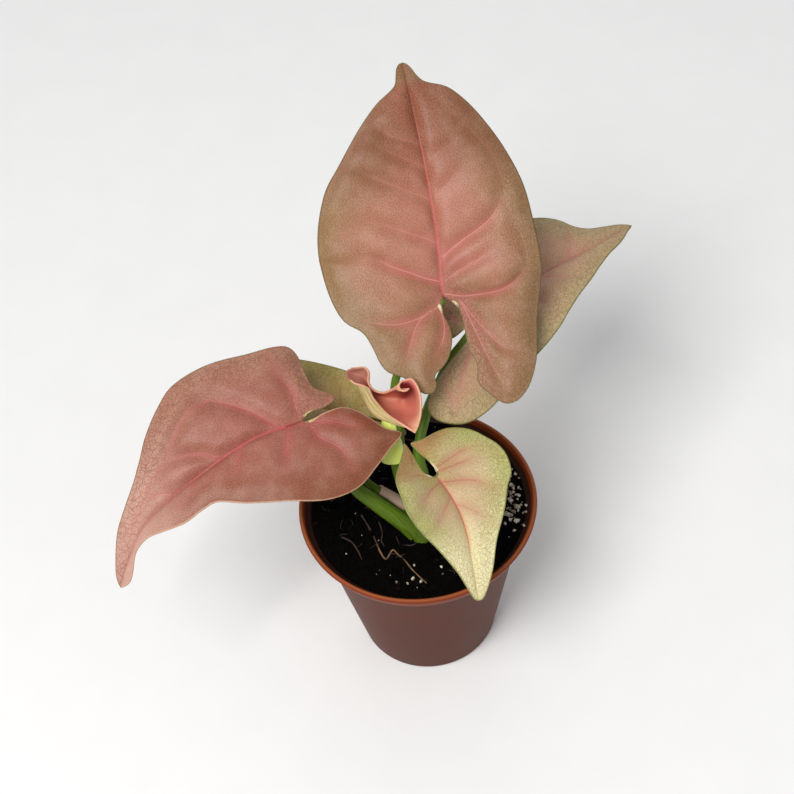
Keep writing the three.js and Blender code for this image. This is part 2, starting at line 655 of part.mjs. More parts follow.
// The sheaths wrap the stalks and end clear of the lowest blade.
standing.push(roomRound(LEAVES.blade_under));
for (const [name, { color, ...shape }] of Object.entries(SHEATHS)) {
  const solid = solidOf(sheath(shape)).subtract(wasm.Manifold.union(standing));
  add(name, trimmed(solid), color, 0.6);
}

// The soil has a plain hole for the crown and for each stalk's foot.
add('soil', trimmed(soilSolid().subtract(wasm.Manifold.union(standing))), 0x14100e, 0.95);
add('pot', geometryOf(potSolid()), 0x9c5231, 0.55);

export default plant;
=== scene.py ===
import math
import random

import bmesh
import bpy
import numpy as np
from mathutils import Matrix, Vector, noise


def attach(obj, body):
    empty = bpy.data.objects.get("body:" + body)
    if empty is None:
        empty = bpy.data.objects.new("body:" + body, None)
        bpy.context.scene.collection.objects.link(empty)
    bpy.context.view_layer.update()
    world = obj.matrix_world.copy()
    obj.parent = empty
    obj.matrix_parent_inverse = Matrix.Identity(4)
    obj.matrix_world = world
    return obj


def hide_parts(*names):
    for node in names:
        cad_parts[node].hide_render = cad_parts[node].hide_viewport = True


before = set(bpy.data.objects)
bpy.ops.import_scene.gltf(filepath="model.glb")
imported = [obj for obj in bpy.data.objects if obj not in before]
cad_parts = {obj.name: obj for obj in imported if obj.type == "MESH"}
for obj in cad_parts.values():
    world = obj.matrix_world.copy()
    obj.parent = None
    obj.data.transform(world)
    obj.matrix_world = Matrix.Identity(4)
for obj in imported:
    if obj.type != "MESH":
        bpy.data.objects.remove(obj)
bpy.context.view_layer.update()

# ---- Nursery pot -------------------------------------------------------------------------------------
# A thin-walled nursery pot, 6 cm across the rim, injection moulded in brown polypropylene in one shot.
# A flared collar under the lip stiffens the rim, and six drain holes are moulded through the floor.

# A millimetre in metres. Sizes are in millimetres up to the finished mesh.
MM = 0.001
POT_HEIGHT = 52
RIM_RADIUS = 30
LIP_HEIGHT = 2.6
LIP_WIDTH = 1.3
LIP_FOOT_RADIUS = 29.2
COLLAR_HEIGHT = 4.6
# Height where the outside steps out to the collar, and height of the lip's straight skirt.
STEP_FOOT = 46.4
SKIRT_HEIGHT = 1.7
SHOULDER_RADIUS = 26.3
FOOT_RADIUS = 18.3
WALL = 1
FLOOR = 1.2
DRAINS = 6
DRAIN_RADIUS = 2
DRAIN_CIRCLE = 14
# Edges of the pot that turn by more than this are rounded.
ROUNDED_FROM = math.radians(14)
ROUNDING = 0.22


def linear(code):
    """Linear RGBA of an sRGB hex colour."""
    channels = [int(code[i:i + 2], 16) / 255 for i in (1, 3, 5)]
    return [c / 12.92 if c <= 0.04045 else ((c + 0.055) / 1.055) ** 2.4 for c in channels] + [1]


def fill(tree, node, links):
    """Fills a node's inputs with values, hex colours, outputs, or nodes that stand for their first output
    in use."""
    for key, value in links.items():
        if isinstance(value, str):
            value = linear(value)
        if isinstance(value, bpy.types.Node):
            value = next(socket for socket in value.outputs if socket.enabled)
        if isinstance(value, bpy.types.NodeSocket):
            tree.links.new(value, node.inputs[key])
        else:
            node.inputs[key].default_value = value


def put(tree, kind, links=None, **settings):
    """Adds a shader node with its settings and links."""
    node = tree.nodes.new("ShaderNode" + kind)
    for key, value in settings.items():
        setattr(node, key, value)
    fill(tree, node, links or {})
    return node


def blank_finish(name, **sockets):
    """New material with the shader's own sockets set. Returns it with its node tree and its shader."""
    finish = bpy.data.materials.new(name)
    finish.use_nodes = True
    tree = finish.node_tree
    shader = tree.nodes["Principled BSDF"]
    for key, value in sockets.items():
        shader.inputs[key.replace("_", " ")].default_value = value
    return finish, tree, shader


def keep(bm, name, finishes, node=None):
    """Turns a mesh in millimetres into a smooth piece of the plant that stands for its CAD node."""
    bm.transform(Matrix.Scale(MM, 4))
    for face in bm.faces:
        face.smooth = True
    mesh = bpy.data.meshes.new(name)
    bm.to_mesh(mesh)
    bm.free()
    for finish in finishes:
        mesh.materials.append(finish)
    piece = bpy.data.objects.new(name, mesh)
    bpy.context.collection.objects.link(piece)
    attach(piece, "root")
    if node:
        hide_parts(node)
    return piece


def wall_radius(height):
    """Radius of the pot's outside at a height under the collar, in mm."""
    share = height / (POT_HEIGHT - COLLAR_HEIGHT)
    return FOOT_RADIUS + (SHOULDER_RADIUS - FOOT_RADIUS) * share


def inside_radius(height):
    """Radius of the pot's inside at a height under the lip, in mm."""
    shoulder = POT_HEIGHT - COLLAR_HEIGHT + WALL / 2
    lip = POT_HEIGHT - LIP_HEIGHT + WALL / 2
    flare = max(0, (height - shoulder) / (lip - shoulder))
    wall = wall_radius(min(height, shoulder))
    return wall + (LIP_FOOT_RADIUS - wall) * flare - WALL


def sealed(bm):
    """Merges a mesh's doubles and turns its faces outwards."""
    bmesh.ops.remove_doubles(bm, verts=bm.verts, dist=0.001)
    bmesh.ops.recalc_face_normals(bm, faces=bm.faces)
    return bm


def spun(profile, steps):
    """Closed mesh spun about the pot's axis from a profile of (radius, height) pairs in mm."""
    bm = bmesh.new()
    points = [bm.verts.new((radius, 0, height)) for radius, height in profile]
    edges = [bm.edges.new(pair) for pair in zip(points, points[1:])]
    bmesh.ops.spin(bm, geom=points + edges, cent=(0, 0, 0), axis=(0, 0, 1), angle=2 * math.pi,
                   steps=steps, use_merge=True)
    return sealed(bm)


shoulder = POT_HEIGHT - COLLAR_HEIGHT
lip = POT_HEIGHT - LIP_HEIGHT
bm = spun([
    (0, 0),
    (wall_radius(0) - 4, 0),
    (wall_radius(0) - 3.2, 0.5),
    (wall_radius(0) - 1.6, 0.5),
    (wall_radius(0) - 0.8, 0),
    (wall_radius(0) - 0.5, 0),
    (wall_radius(0), 0.7),
    (wall_radius(shoulder / 2), shoulder / 2),
    (wall_radius(STEP_FOOT) - 0.1, STEP_FOOT - 0.8),
    (wall_radius(STEP_FOOT) + 0.1, STEP_FOOT),
    (LIP_FOOT_RADIUS - 0.7, lip - SKIRT_HEIGHT),
    (LIP_FOOT_RADIUS, lip),
    (RIM_RADIUS, POT_HEIGHT - 0.7),
    (RIM_RADIUS - 0.45, POT_HEIGHT),
    (RIM_RADIUS - LIP_WIDTH + 0.45, POT_HEIGHT),
    (RIM_RADIUS - LIP_WIDTH, POT_HEIGHT - 0.6),
    (inside_radius(lip + WALL / 2), lip + WALL / 2),
    (inside_radius(shoulder + WALL / 2), shoulder + WALL / 2),
    (inside_radius(FLOOR) + 0.1, FLOOR + 0.8),
    (inside_radius(FLOOR) - 0.6, FLOOR),
    (0, FLOOR),
], 144)
ring_edges = [edge for edge in bm.edges if edge.calc_face_angle(0) > ROUNDED_FROM]
bmesh.ops.bevel(bm, geom=ring_edges, offset=ROUNDING, affect="EDGES", segments=3, profile=0.5,
                material=-1, clamp_overlap=True)

# Polypropylene, moulded: a satin skin with a faint uneven gloss. Under the collar the wall is a darker
# brown, partly its own tone and partly painted shade, and the lip is a warmer terracotta with its top
# face painted lighter as a highlight.
terracotta, tree, shader = blank_finish("moulded_polypropylene", Roughness=0.5, IOR=1.45,
                                        Specular_IOR_Level=0.2)
place = put(tree, "TexCoord").outputs["Object"]
level, depth, height = put(tree, "SeparateXYZ", {"Vector": place}).outputs
# Clouds of bloom a centimetre across.
clouds = put(tree, "TexNoise", {"Vector": place, "Scale": 110.0, "Detail": 4.0})
uneven = put(tree, "Math", {0: clouds, 1: 0.0016, 2: height}, operation="MULTIPLY_ADD")
collar = put(tree, "MapRange", {"Value": uneven, "From Min": 0.047, "From Max": 0.0486},
             interpolation_type="SMOOTHSTEP")
# Painted shade, in part: the wall under the collar is a darker brown than the collar, for the shade it
# stands in.
wall_tone_and_shade, warm = (put(tree, "Mix", {"Factor": clouds, "A": dark, "B": light},
                   data_type="RGBA") for dark, light in (("#481D0E", "#632F1F"), ("#6E2A0C", "#8A3A16")))
body = put(tree, "Mix", {"Factor": collar, "A": wall_tone_and_shade, "B": warm}, data_type="RGBA")
# Inside, the wall over the peat is painted almost black as shade. A place is inside if it lies within the
# middle of the wall, whose radius grows up to the collar and again in it.
flat_place = put(tree, "CombineXYZ", {"X": level, "Y": depth})
radius = put(tree, "VectorMath", {0: flat_place}, operation="LENGTH")
under_collar = put(tree, "MapRange", {"Value": height, "From Max": 0.0474, "To Min": 0.0178,
                                                "To Max": 0.0258})
in_collar = put(tree, "MapRange", {"Value": height, "From Min": 0.0474, "From Max": 0.0494,
                                             "To Max": 0.0026})
mid_wall = put(tree, "Math", {0: under_collar, 1: in_collar})
within = put(tree, "Math", {0: radius, 1: mid_wall}, operation="LESS_THAN")
# Painted shade: up to just under the rim, the inside wall is darkened almost black.
inner_shade_fade = put(tree, "MapRange", {"Value": height, "From Min": 0.0516, "From Max": 0.0498})
inner_wall_shade = put(tree, "Math", {0: within, 1: inner_shade_fade}, operation="MULTIPLY")
inner = put(tree, "Mix", {"Factor": inner_wall_shade, "A": body, "B": "#2E130A"}, data_type="RGBA")
# Painted highlight: the top face of the lip is a lighter terracotta.
lip_top_highlight = put(tree, "MapRange", {"Value": height, "From Min": 0.05155, "From Max": 0.05195})
top = put(tree, "Mix", {"Factor": lip_top_highlight, "A": inner, "B": "#98502C"}, data_type="RGBA")
# Scratches and flow marks half a millimetre wide.
marks = put(tree, "TexNoise", {"Vector": place, "Scale": 1800.0, "Detail": 3.0})
bump = put(tree, "Bump", {"Height": marks, "Strength": 0.12, "Distance": 0.0002})
gloss = put(tree, "MapRange", {"Value": clouds, "To Min": 0.44, "To Max": 0.6})
fill(tree, shader, {"Base Color": top, "Normal": bump, "Roughness": gloss})

pot = keep(bm, "nursery_pot", [terracotta], "pot")
drains = bmesh.new()
for i in range(DRAINS):
    turn = Matrix.Rotation(2 * math.pi * i / DRAINS, 4, "Z")
    bmesh.ops.create_cone(drains, cap_ends=True, segments=32, radius1=DRAIN_RADIUS * MM,
                          radius2=DRAIN_RADIUS * MM, depth=10 * MM,
                          matrix=turn @ Matrix.Translation((DRAIN_CIRCLE * MM, 0, 0)))
drill_mesh = bpy.data.meshes.new("drill")
drains.to_mesh(drill_mesh)
drains.free()
drill = bpy.data.objects.new("drill", drill_mesh)
bpy.context.collection.objects.link(drill)
cut = pot.modifiers.new("drains", "BOOLEAN")
cut.object = drill
cut.operation = "DIFFERENCE"
holed = bpy.data.meshes.new_from_object(pot.evaluated_get(bpy.context.evaluated_depsgraph_get()))
pot.modifiers.clear()
pot.data = holed
bpy.data.objects.remove(drill)

# ---- Peat, perlite and roots -------------------------------------------------------------------------
# Damp black peat fills the pot to just under the lip. White perlite is mixed in, a few fine dead roots
# and fibres lie on top, and the peat rises slightly at the crown.

SOIL_LEVEL = 49.4
SOIL_EDGE = inside_radius(SOIL_LEVEL) - 0.45
MOUND_HEIGHT = 0.8
MOUND_RADIUS = 9
CLOD_HEIGHT = 0.3
CROWN_PLACE = (2.4, -6.2)
# Steps of a curve from each of its points to the next.
CURVE_STEPS = 60
SOIL_RINGS = 46
CRUMBS = 1500
FIBRES = 45
FIBRE_JOINTS = 4
SMALL_GRAINS = 35
HEAPED_GRAINS = 95
# Height of a crumb or a grain as a share of its size.
GRAIN_HEIGHT = 0.75
# Middle and spread of the perlite heaped by the wall, across and back, in mm.
HEAP = ((23.4, 1.5), (-1.5, 4.8))
# Perlite that stands out: place across and back, and size, in mm.
PERLITE = [(-7.3, -21.9, 0.6), (-4.7, -22.9, 0.65), (-3.3, -21.6, 0.8), (-1.4, -22.6, 0.75),
           (-2.6, -17.9, 0.55), (3.9, -19.4, 0.6), (4, -21.1, 0.4), (24, 2.9, 0.9), (25.6, -0.5, 0.7),
           (23.3, -2, 1.0), (24.6, -4.1, 1.35), (22, -6.2, 0.9), (23.8, -8, 1.0), (25.5, -9.7, 0.7),
           (26.3, 5, 0.5), (21, -8.5, 0.6), (22.5, 0.5, 0.6), (20.5, 5.5, 0.8), (-19, -12, 0.4),
           (-12, -19, 0.35)]
# The dead root that stands out: its radius and its way over the peat.
ROOT_RADIUS = 0.24
ROOT = [(-11.3, -10), (-10.5, -13), (-9.3, -14.8), (-7.5, -12.8), (-6.3, -14), (-4.7, -16.3), (-3, -19.5),
        (0, -23.5)]
# Rootlets, each with its radius and its way over the peat.
ROOTLETS = [
    (0.24, [(-14.5, -1), (-12.5, -5.5), (-11.5, -9), (-11.3, -10)]),
    (0.22, [(-20, -7), (-17.5, -8.8), (-16, -12), (-15.2, -14.5)]),
    (0.2, [(-10.2, -3.6), (-9.6, -7), (-10, -9.5), (-9.4, -11.3)]),
    (0.18, [(-4.9, -11.6), (-3, -12.2), (-1.2, -11.6)]),
    (0.2, [(6, -14), (9, -16.5), (10, -19)]),
    (0.22, [(-3, 22), (3, 20), (8, 21.5), (12, 19)]),
    (0.18, [(-22, 4), (-18, 8), (-17, 13)]),
]


def soil_top(x, y):
    """Height of the peat at a place, in mm."""
    from_crown = math.hypot(x - CROWN_PLACE[0], y - CROWN_PLACE[1])
    clods = math.sin(0.9 * x + 1) * math.cos(0.8 * y) + math.sin(1.7 * y - 0.6 * x)
    inside = 1 - min(1, math.hypot(x, y) / SOIL_EDGE) ** 8
    mound = MOUND_HEIGHT * math.exp(-((from_crown / MOUND_RADIUS) ** 2))
    return SOIL_LEVEL + mound + CLOD_HEIGHT * clods * inside


def curve_through(points, steps=CURVE_STEPS):
    """Arc lengths and places, in mm, along the smooth curve through some points."""
    points = np.array(points, float)
    padded = np.vstack([2 * points[0] - points[1], points, 2 * points[-1] - points[-2]])
    t = np.linspace(0, len(points) - 1, steps * (len(points) - 1) + 1)
    span = np.minimum(t.astype(int), len(points) - 2)
    share = (t - span)[:, None]
    a, b, c, d = (padded[span + k] for k in range(4))
    places = 0.5 * (2 * b + (c - a) * share + (2 * a - 5 * b + 4 * c - d) * share ** 2
                    + (3 * b - a - 3 * c + d) * share ** 3)
    steps_long = np.linalg.norm(np.diff(places, axis=0), axis=1)
    return np.concatenate([[0], np.cumsum(steps_long)]), places


def along(curve, length):
    """Places at some lengths along a curve, which runs on straight past its ends."""
    lengths, places = curve
    length = np.asarray(length, float)
    inside = np.clip(length, lengths[0], lengths[-1])
    found = np.stack([np.interp(inside, lengths, places[:, k]) for k in range(places.shape[1])], -1)
    ends = np.where((length < lengths[0])[:, None], places[1] - places[0], places[-1] - places[-2])
    ends = ends / np.linalg.norm(ends, axis=1, keepdims=True)
    return found + ends * (length - inside)[:, None]


def unit(vectors):
    """Vectors of length 1."""
    return vectors / np.linalg.norm(vectors, axis=-1, keepdims=True)


def grid_shares(bm, columns, rows):
    """Adds a grid and returns its points with their shares across and down it."""
    points = bmesh.ops.create_grid(bm, x_segments=columns, y_segments=rows, size=0.5)["verts"]
    flat = np.array([point.co for point in points])
    return points, flat[:, 0] + 0.5, 0.5 - flat[:, 1]


def place_points(points, places, layers):
    """Moves points to their places, and writes each layer's values to them."""
    for point, where in zip(points, places):
        point.co = where
    for layer, values in layers:
        for point, value in zip(points, values):
            point[layer] = value


def ring_places(curve, run, angle, radius, step, reference):
    """Places round a curve, at some distances along it and out from it."""
    forward = unit(along(curve, run + step) - along(curve, run - step))
    level = unit(np.cross(forward, np.array(reference, float)))
    face = np.cross(level, forward)
    return along(curve, run) + radius[:, None] * (np.cos(angle)[:, None] * level
                                                  + np.sin(angle)[:, None] * face)


def tube(bm, route, radii, around=12, pitch=0.6, reference=(0, -1, 0), ends=1.0):
    """Adds a round tube with rounded ends, which tapers from the first of its radii to the second. The
    layer "place" gets the angle round, the distance along and the share of the length."""
    curve = curve_through(route)
    length = curve[0][-1]
    layer = bm.verts.layers.float_vector.get("place") or bm.verts.layers.float_vector.new("place")
    points, turn, share = grid_shares(bm, around, max(4, round(length / pitch)))
    run = share * length
    radius = radii[0] + (radii[1] - radii[0]) * share
    cap = np.clip(np.minimum(run, length - run) / (radius * ends), 0, 1)
    radius = radius * np.sqrt(1 - (1 - cap) ** 2)
    angle = 2 * np.pi * turn
    places = ring_places(curve, run, angle, radius, 0.4, reference)
    place_points(points, places, [(layer, np.stack([angle, run, share], -1))])


random.seed(4)
top = [(SOIL_EDGE * (1 - i / SOIL_RINGS), SOIL_LEVEL) for i in range(SOIL_RINGS)]
bm = spun([(0, FLOOR + 0.3), (inside_radius(1.5) - 0.3, FLOOR + 0.3), (inside_radius(47.7) - 0.3, 47.7)]
          + top + [(0, SOIL_LEVEL)], 160)
for point in bm.verts:
    x, y, z = point.co
    if z > SOIL_LEVEL - 1:
        rough = 0.5 * noise.fractal(Vector((x, y, 3)) * 0.55, 0.8, 2, 4)
        edge = 1 - min(1, math.hypot(x, y) / SOIL_EDGE) ** 12
        point.co.z = soil_top(x, y) + edge * rough - 0.15

# Peat, milled and damp: almost black, fibrous and matt, with a little wet sparkle and brown flecks.
peat, tree, shader = blank_finish("damp_milled_peat", Roughness=0.9, Specular_IOR_Level=0.06)
place = put(tree, "TexCoord").outputs["Object"]
# Crumbs about 0.8 mm across.
crumb = put(tree, "TexVoronoi", {"Vector": place, "Scale": 1300.0}, feature="F1")
grain = put(tree, "TexNoise", {"Vector": place, "Scale": 900.0, "Detail": 6.0, "Roughness": 0.7})
dark = put(tree, "Mix", {"Factor": grain, "A": "#020101", "B": "#0A0705"}, data_type="RGBA")
fleck = put(tree, "MapRange", {"Value": crumb.outputs["Color"], "From Min": 0.86, "From Max": 0.98})
peat_tone = put(tree, "Mix", {"Factor": fleck, "A": dark, "B": "#241710"}, data_type="RGBA")
relief = put(tree, "Math", {0: crumb, 1: grain}, operation="ADD")
bump = put(tree, "Bump", {"Height": relief, "Strength": 0.9, "Distance": 0.0008})
fill(tree, shader, {"Base Color": peat_tone, "Normal": bump})
keep(bm, "peat_fill", [peat], "soil")


def peat_spot(inset):
    """A random place on the peat, at least so many mm in from its edge."""
    angle = random.uniform(0, 2 * math.pi)
    reach = (SOIL_EDGE - inset) * math.sqrt(random.random())
    return reach * math.cos(angle), reach * math.sin(angle)


def scatter(bm, x, y, size, lift):
    """Adds one small lumpy grain that lies on the peat, lifted by a share of its size."""
    tilt = Matrix.Rotation(random.uniform(0, 6.3), 4, "Z") @ Matrix.Rotation(random.uniform(0, 3), 4, "X")
    shape = Matrix.Diagonal((size, size * random.uniform(0.6, 0.95), size * GRAIN_HEIGHT, 1))
    lump = bmesh.ops.create_icosphere(bm, subdivisions=1, radius=1)["verts"]
    for point in lump:
        point.co *= 1 + 0.3 * noise.noise(point.co * 1.7 + Vector((x, y, size)))
    spot = Matrix.Translation((x, y, soil_top(x, y) + lift * size))
    bmesh.ops.transform(bm, verts=lump, matrix=spot @ tilt @ shape)


def lay_root(bm, way, radius, thinning, height):
    """Adds a thin root that lies at a height over the peat and loses a share of its radius on its way."""
    route = [(x, y, soil_top(x, y) + height) for x, y in way]
    tube(bm, route, (radius, radius * (1 - thinning)), around=8, pitch=0.4, reference=(0, 0, 1))


def mottled_finish(name, scale, detail, tones, strength, distance, **sockets):
    """Skin mottled between two tones, each given with its place in the noise, which also raises it."""
    finish, tree, shader = blank_finish(name, **sockets)
    place = put(tree, "TexCoord").outputs["Object"]
    mottle = put(tree, "TexNoise", {"Vector": place, "Scale": scale, "Detail": detail})
    tone = put(tree, "ValToRGB", {"Fac": mottle})
    for element, (position, colour) in zip(tone.color_ramp.elements, tones):
        element.position = position
        element.color = linear(colour)
    bump = put(tree, "Bump", {"Height": mottle, "Strength": strength, "Distance": distance})
    fill(tree, shader, {"Base Color": tone, "Normal": bump})
    return finish


crumbs = bmesh.new()
for i in range(CRUMBS):
    scatter(crumbs, *peat_spot(0.8), random.uniform(0.15, 0.62) ** 1.4, 0.1)
keep(crumbs, "peat_crumbs", [peat])

fibres = bmesh.new()
for i in range(FIBRES):
    x, y = peat_spot(3)
    heading = random.uniform(0, 6.3)
    way = []
    for joint in range(FIBRE_JOINTS):
        way.append((x, y, soil_top(x, y) + random.uniform(0, 0.5)))
        heading += random.uniform(-0.6, 0.6)
        x += 0.9 * math.cos(heading)
        y += 0.9 * math.sin(heading)
    if max(math.hypot(a, b) for a, b, _ in way) < SOIL_EDGE - 0.6:
        tube(fibres, way, (0.09, 0.05), around=5, pitch=0.8, reference=(0, 0, 1))
for radius, way in ROOTLETS:
    lay_root(fibres, way, radius, 0.35, 0.2)
# Dead root, dried: a skin with darker stretches along it, tan on the thick root and brown on the
# rootlets, which the damp peat stains.
dry_root, stained_rootlet = (
    mottled_finish(name, 420.0, 4.0, ((0.36, dark), (0.62, light)), 0.5, 0.0002, Roughness=0.8)
    for name, dark, light in (("dry_root", "#1C110A", "#8A6844"),
                              ("stained_rootlet", "#120A08", "#4C362C")))
keep(sealed(fibres), "peat_fibres", [stained_rootlet])
root = bmesh.new()
lay_root(root, ROOT, ROOT_RADIUS, 0.3, 0.25)
keep(sealed(root), "dead_root", [dry_root])

# Perlite, expanded volcanic glass: chalk-white porous grains, stained grey-brown by the peat.
white_grain = mottled_finish("expanded_perlite", 700.0, 5.0, ((0.38, "#6A5644"), (0.58, "#DCD2C2")), 0.6,
                             0.0003, Roughness=0.9)
grains = bmesh.new()
for x, y, size in PERLITE:
    scatter(grains, x, y, size * 0.75, 0.5)
for i in range(SMALL_GRAINS):
    scatter(grains, *peat_spot(1), random.uniform(0.1, 0.28), 0.4)
for i in range(HEAPED_GRAINS):
    scatter(grains, random.gauss(*HEAP[0]), random.gauss(*HEAP[1]), random.uniform(0.15, 0.55), 0.5)
keep(grains, "perlite", [white_grain])

# ---- Crown and leaf stalks ---------------------------------------------------------------------------
# The short green stem stands in the peat, and every leaf stalk springs from it. The stalks are fleshy,
# lighter where they face the light, and painted darker at the foot as shade.

# Each has its radii at the foot and at the top, and its route, in mm.
CROWN = (3.6, 2.6), [(2.4, -6.2, 38), (2.4, -6.4, 49), (2.2, -6, 55)]
STALKS = {
    "petiole_left": ((2.4, 1.1), [
        (1.2, -10.6, 46.5), (-3.1, -7.7, 52), (-10.5, -3.7, 58), (-15, -1, 62), (-20, 3.5, 70),
        (-24, 6, 77), (-25.2, 6.6, 79.7)]),
    "petiole_tall": ((1.2, 0.9), [
        (-0.6, -2.2, 46.5), (-2.6, -1.8, 55), (-4, 1, 61), (-4.5, 4, 66), (-4.5, 7.5, 72), (-3, 11, 79),
        (-1.5, 14, 84.5), (3.5, 18, 91.5), (9.5, 21.5, 97.5), (11.5, 23, 99.8)]),
    "petiole_back": ((1.6, 0.9), [
        (5.2, -2, 46.5), (2.8, -1, 57), (2, 1.5, 62), (1.5, 3.5, 65.5), (2, 5.5, 68), (5, 11, 74),
        (8, 15, 77.5), (11.5, 20, 80.5), (15.5, 23, 83.5), (19.3, 26.4, 85.8)]),
    "petiole_front": ((1.2, 0.8), [
        (6.7, -8.5, 46.5), (5.2, -7.5, 58), (5, -8.5, 67), (5, -11.3, 75.8)]),
    "petiole_young": ((1, 0.8), [
        (-2, 1.5, 61.5), (-2.3, 3.5, 66), (-2.4, 5.6, 71), (-2, 6, 75.5), (-1.5, 4.6, 79.5),
        (-1.6, 3.9, 82.5), (-1.8, 3.8, 84.3)]),
    "petiole_under": ((1.2, 0.8), [
        (-2.6, -4.6, 46.5), (-4.5, -2.7, 54), (-9.5, 1, 56.5), (-12.5, 3, 59.5), (-15, 8, 63),
        (-14.5, 14, 65.5), (-14.3, 16.8, 67.8)]),
}

# Leaf stalk, fresh plant tissue: smooth waxy skin with fine lengthwise streaks and a moist, soft shine.
stalk_skin, tree, shader = blank_finish("waxy_leaf_stalk", Roughness=0.42, IOR=1.38,
                                        Subsurface_Weight=0.05, Subsurface_Scale=0.0008)
run = put(tree, "Attribute", attribute_name="place").outputs["Vector"]
stretch = put(tree, "Mapping", {"Vector": run, "Scale": (2.4, 0.12, 0)})
streaks = put(tree, "TexNoise", {"Vector": stretch, "Scale": 2.0, "Detail": 4.0})
share = put(tree, "SeparateXYZ", {"Vector": run}).outputs["Z"]
# Painted shade: the stalks darken towards the foot, down under the leaves by the peat.
foot = put(tree, "MapRange", {"Value": share, "From Min": 0.0, "From Max": 0.35})
green = put(tree, "Mix", {"Factor": foot, "A": "#3A4E08", "B": "#526C12"}, data_type="RGBA")
streak = put(tree, "MapRange", {"Value": streaks, "From Min": 0.4, "From Max": 0.85})
stalk_tone = put(tree, "Mix", {"Factor": streak, "A": green, "B": "#6A861E"}, data_type="RGBA")
bump = put(tree, "Bump", {"Height": streaks, "Strength": 0.25, "Distance": 0.0003})
fill(tree, shader, {"Base Color": stalk_tone, "Normal": bump})

bm = bmesh.new()
tube(bm, CROWN[1], CROWN[0], around=40, ends=0.7)
keep(sealed(bm), "stem_crown", [stalk_skin], "crown")

for node, (radii, route) in STALKS.items():
    bm = bmesh.new()
    tube(bm, route, radii, around=28, pitch=0.5)
    keep(sealed(bm), node.replace("petiole", "stalk"), [stalk_skin], node)

# ---- Sheaths -----------------------------------------------------------------------------------------
# Each stalk starts inside a thin sheath. The tall leaf's is fresh and lime green and holds the young
# leaf, and the lowest leaf's has dried to a papery pinkish scale.

# Each has its route, its radii at the foot and at the top, the degrees where it starts and ends round
# the stalk, and how far its edges flare at the foot and at the top.
SHEATHS = {
    "sheath_fresh": {"route": [(-4.5, 3.5, 65), (-4.6, 5.5, 68.5), (-4.6, 7.2, 72), (-4, 8.8, 75)],
                     "radii": (2.9, 2), "turn": (40, 235), "flare": (0.3, 0.1)},
    "sheath_dry": {"route": [(-3.5, -2.5, 53), (-6.5, -1, 55), (-9.5, 0, 57.5)],
                   "radii": (1.9, 1.6), "turn": (-40, 140), "flare": (0.2, 0.3)},
}
SHEATH_THICKNESS = 0.4


def sheath_finish(name, ground, rib, edge, roughness):
    """Thin sheath with fine parallel ribs along it and a tinted free edge."""
    finish, tree, shader = blank_finish(name, Roughness=roughness, Subsurface_Weight=0.15,
                                        Subsurface_Scale=0.001)
    run = put(tree, "Attribute", attribute_name="place").outputs["Vector"]
    stretch = put(tree, "Mapping", {"Vector": run, "Scale": (14, 0.1, 0)})
    ribs = put(tree, "TexNoise", {"Vector": stretch, "Scale": 1.0, "Detail": 3.0})
    tone = put(tree, "Mix", {"Factor": ribs, "A": ground, "B": rib}, data_type="RGBA")
    across = put(tree, "SeparateXYZ", {"Vector": run}).outputs["X"]
    middle = put(tree, "Math", {0: across, 1: 0.5}, operation="SUBTRACT")
    out = put(tree, "Math", {0: middle}, operation="ABSOLUTE")
    rim = put(tree, "MapRange", {"Value": out, "From Min": 0.4, "From Max": 0.5})
    edged = put(tree, "Mix", {"Factor": rim, "A": tone, "B": edge}, data_type="RGBA")
    bump = put(tree, "Bump", {"Height": ribs, "Strength": 0.5, "Distance": 0.0003})
    fill(tree, shader, {"Base Color": edged, "Normal": bump})
    return finish


def thicken(piece, thickness, material_offset=0):
    """Gives an open skin a thickness in mm, half to each side, and its back another of its materials."""
    skin = piece.modifiers.new("thickness", "SOLIDIFY")
    skin.thickness = thickness * MM
    skin.offset = 0
    skin.material_offset = material_offset


SHEATH_FINISHES = {
    # Fresh sheath, soft leaf tissue: lime green and slightly see-through, paler at its edge.
    "sheath_fresh": sheath_finish("fresh_sheath_tissue", "#DDEB60", "#E6F082", "#ECF2A8", 0.45),
    # Dry sheath, papery dead tissue: pinkish grey with brown fibres and a torn brown edge.
    "sheath_dry": sheath_finish("papery_dry_sheath", "#B89A88", "#96806E", "#7E6450", 0.75),
}

for node, shape in SHEATHS.items():
    bm = bmesh.new()
    layer = bm.verts.layers.float_vector.new("place")
    points, across, share = grid_shares(bm, 36, 30)
    share = 1 - share
    curve = curve_through(shape["route"])
    run = share * curve[0][-1]
    turn, radius, flare = (shape[key][0] + (shape[key][1] - shape[key][0]) * place
                           for key, place in (("turn", across), ("radii", share), ("flare", share)))
    reach = radius * (1 + np.abs(2 * across - 1) ** 3 * flare)
    places = ring_places(curve, run, np.radians(turn), reach, 0.3, (0, 0, 1))
    place_points(points, places, [(layer, np.stack([across, run, share], -1))])
    state = node.replace("sheath_", "")
    sheath = keep(bm, state + "_leaf_sheath", [SHEATH_FINISHES[node]], node)
    thicken(sheath, SHEATH_THICKNESS)

# ---- Leaf blades -------------------------------------------------------------------------------------
# Five open arrow-shaped blades, each under half a millimetre thick. A blade is drawn flat, u along the
# midrib from the stalk and w out from it, then bent along its spine. Side veins are pressed in above.

# Rows and columns of a blade's mesh, in mm and in number, and how far its rows slant.
PITCH = 0.55
COLUMNS = 44
LOBE_ROWS = 30
SLANT = 0.35
# How far the line that a lobe's rows start from bows outwards.
RIB_ARC = 0.6
OUTLINE_STEPS = 80
OUTLINE_MARKS = 1600
BLADE_THICKNESS = 0.45
# The crease of the midrib, and how far from the midrib and from the margin the blade rises to its puff.
CREASE_DEPTH = 0.3
CREASE_WIDTH = 0.45
RISE_AT_MIDRIB = 1.6
RISE_AT_MARGIN = 2.5

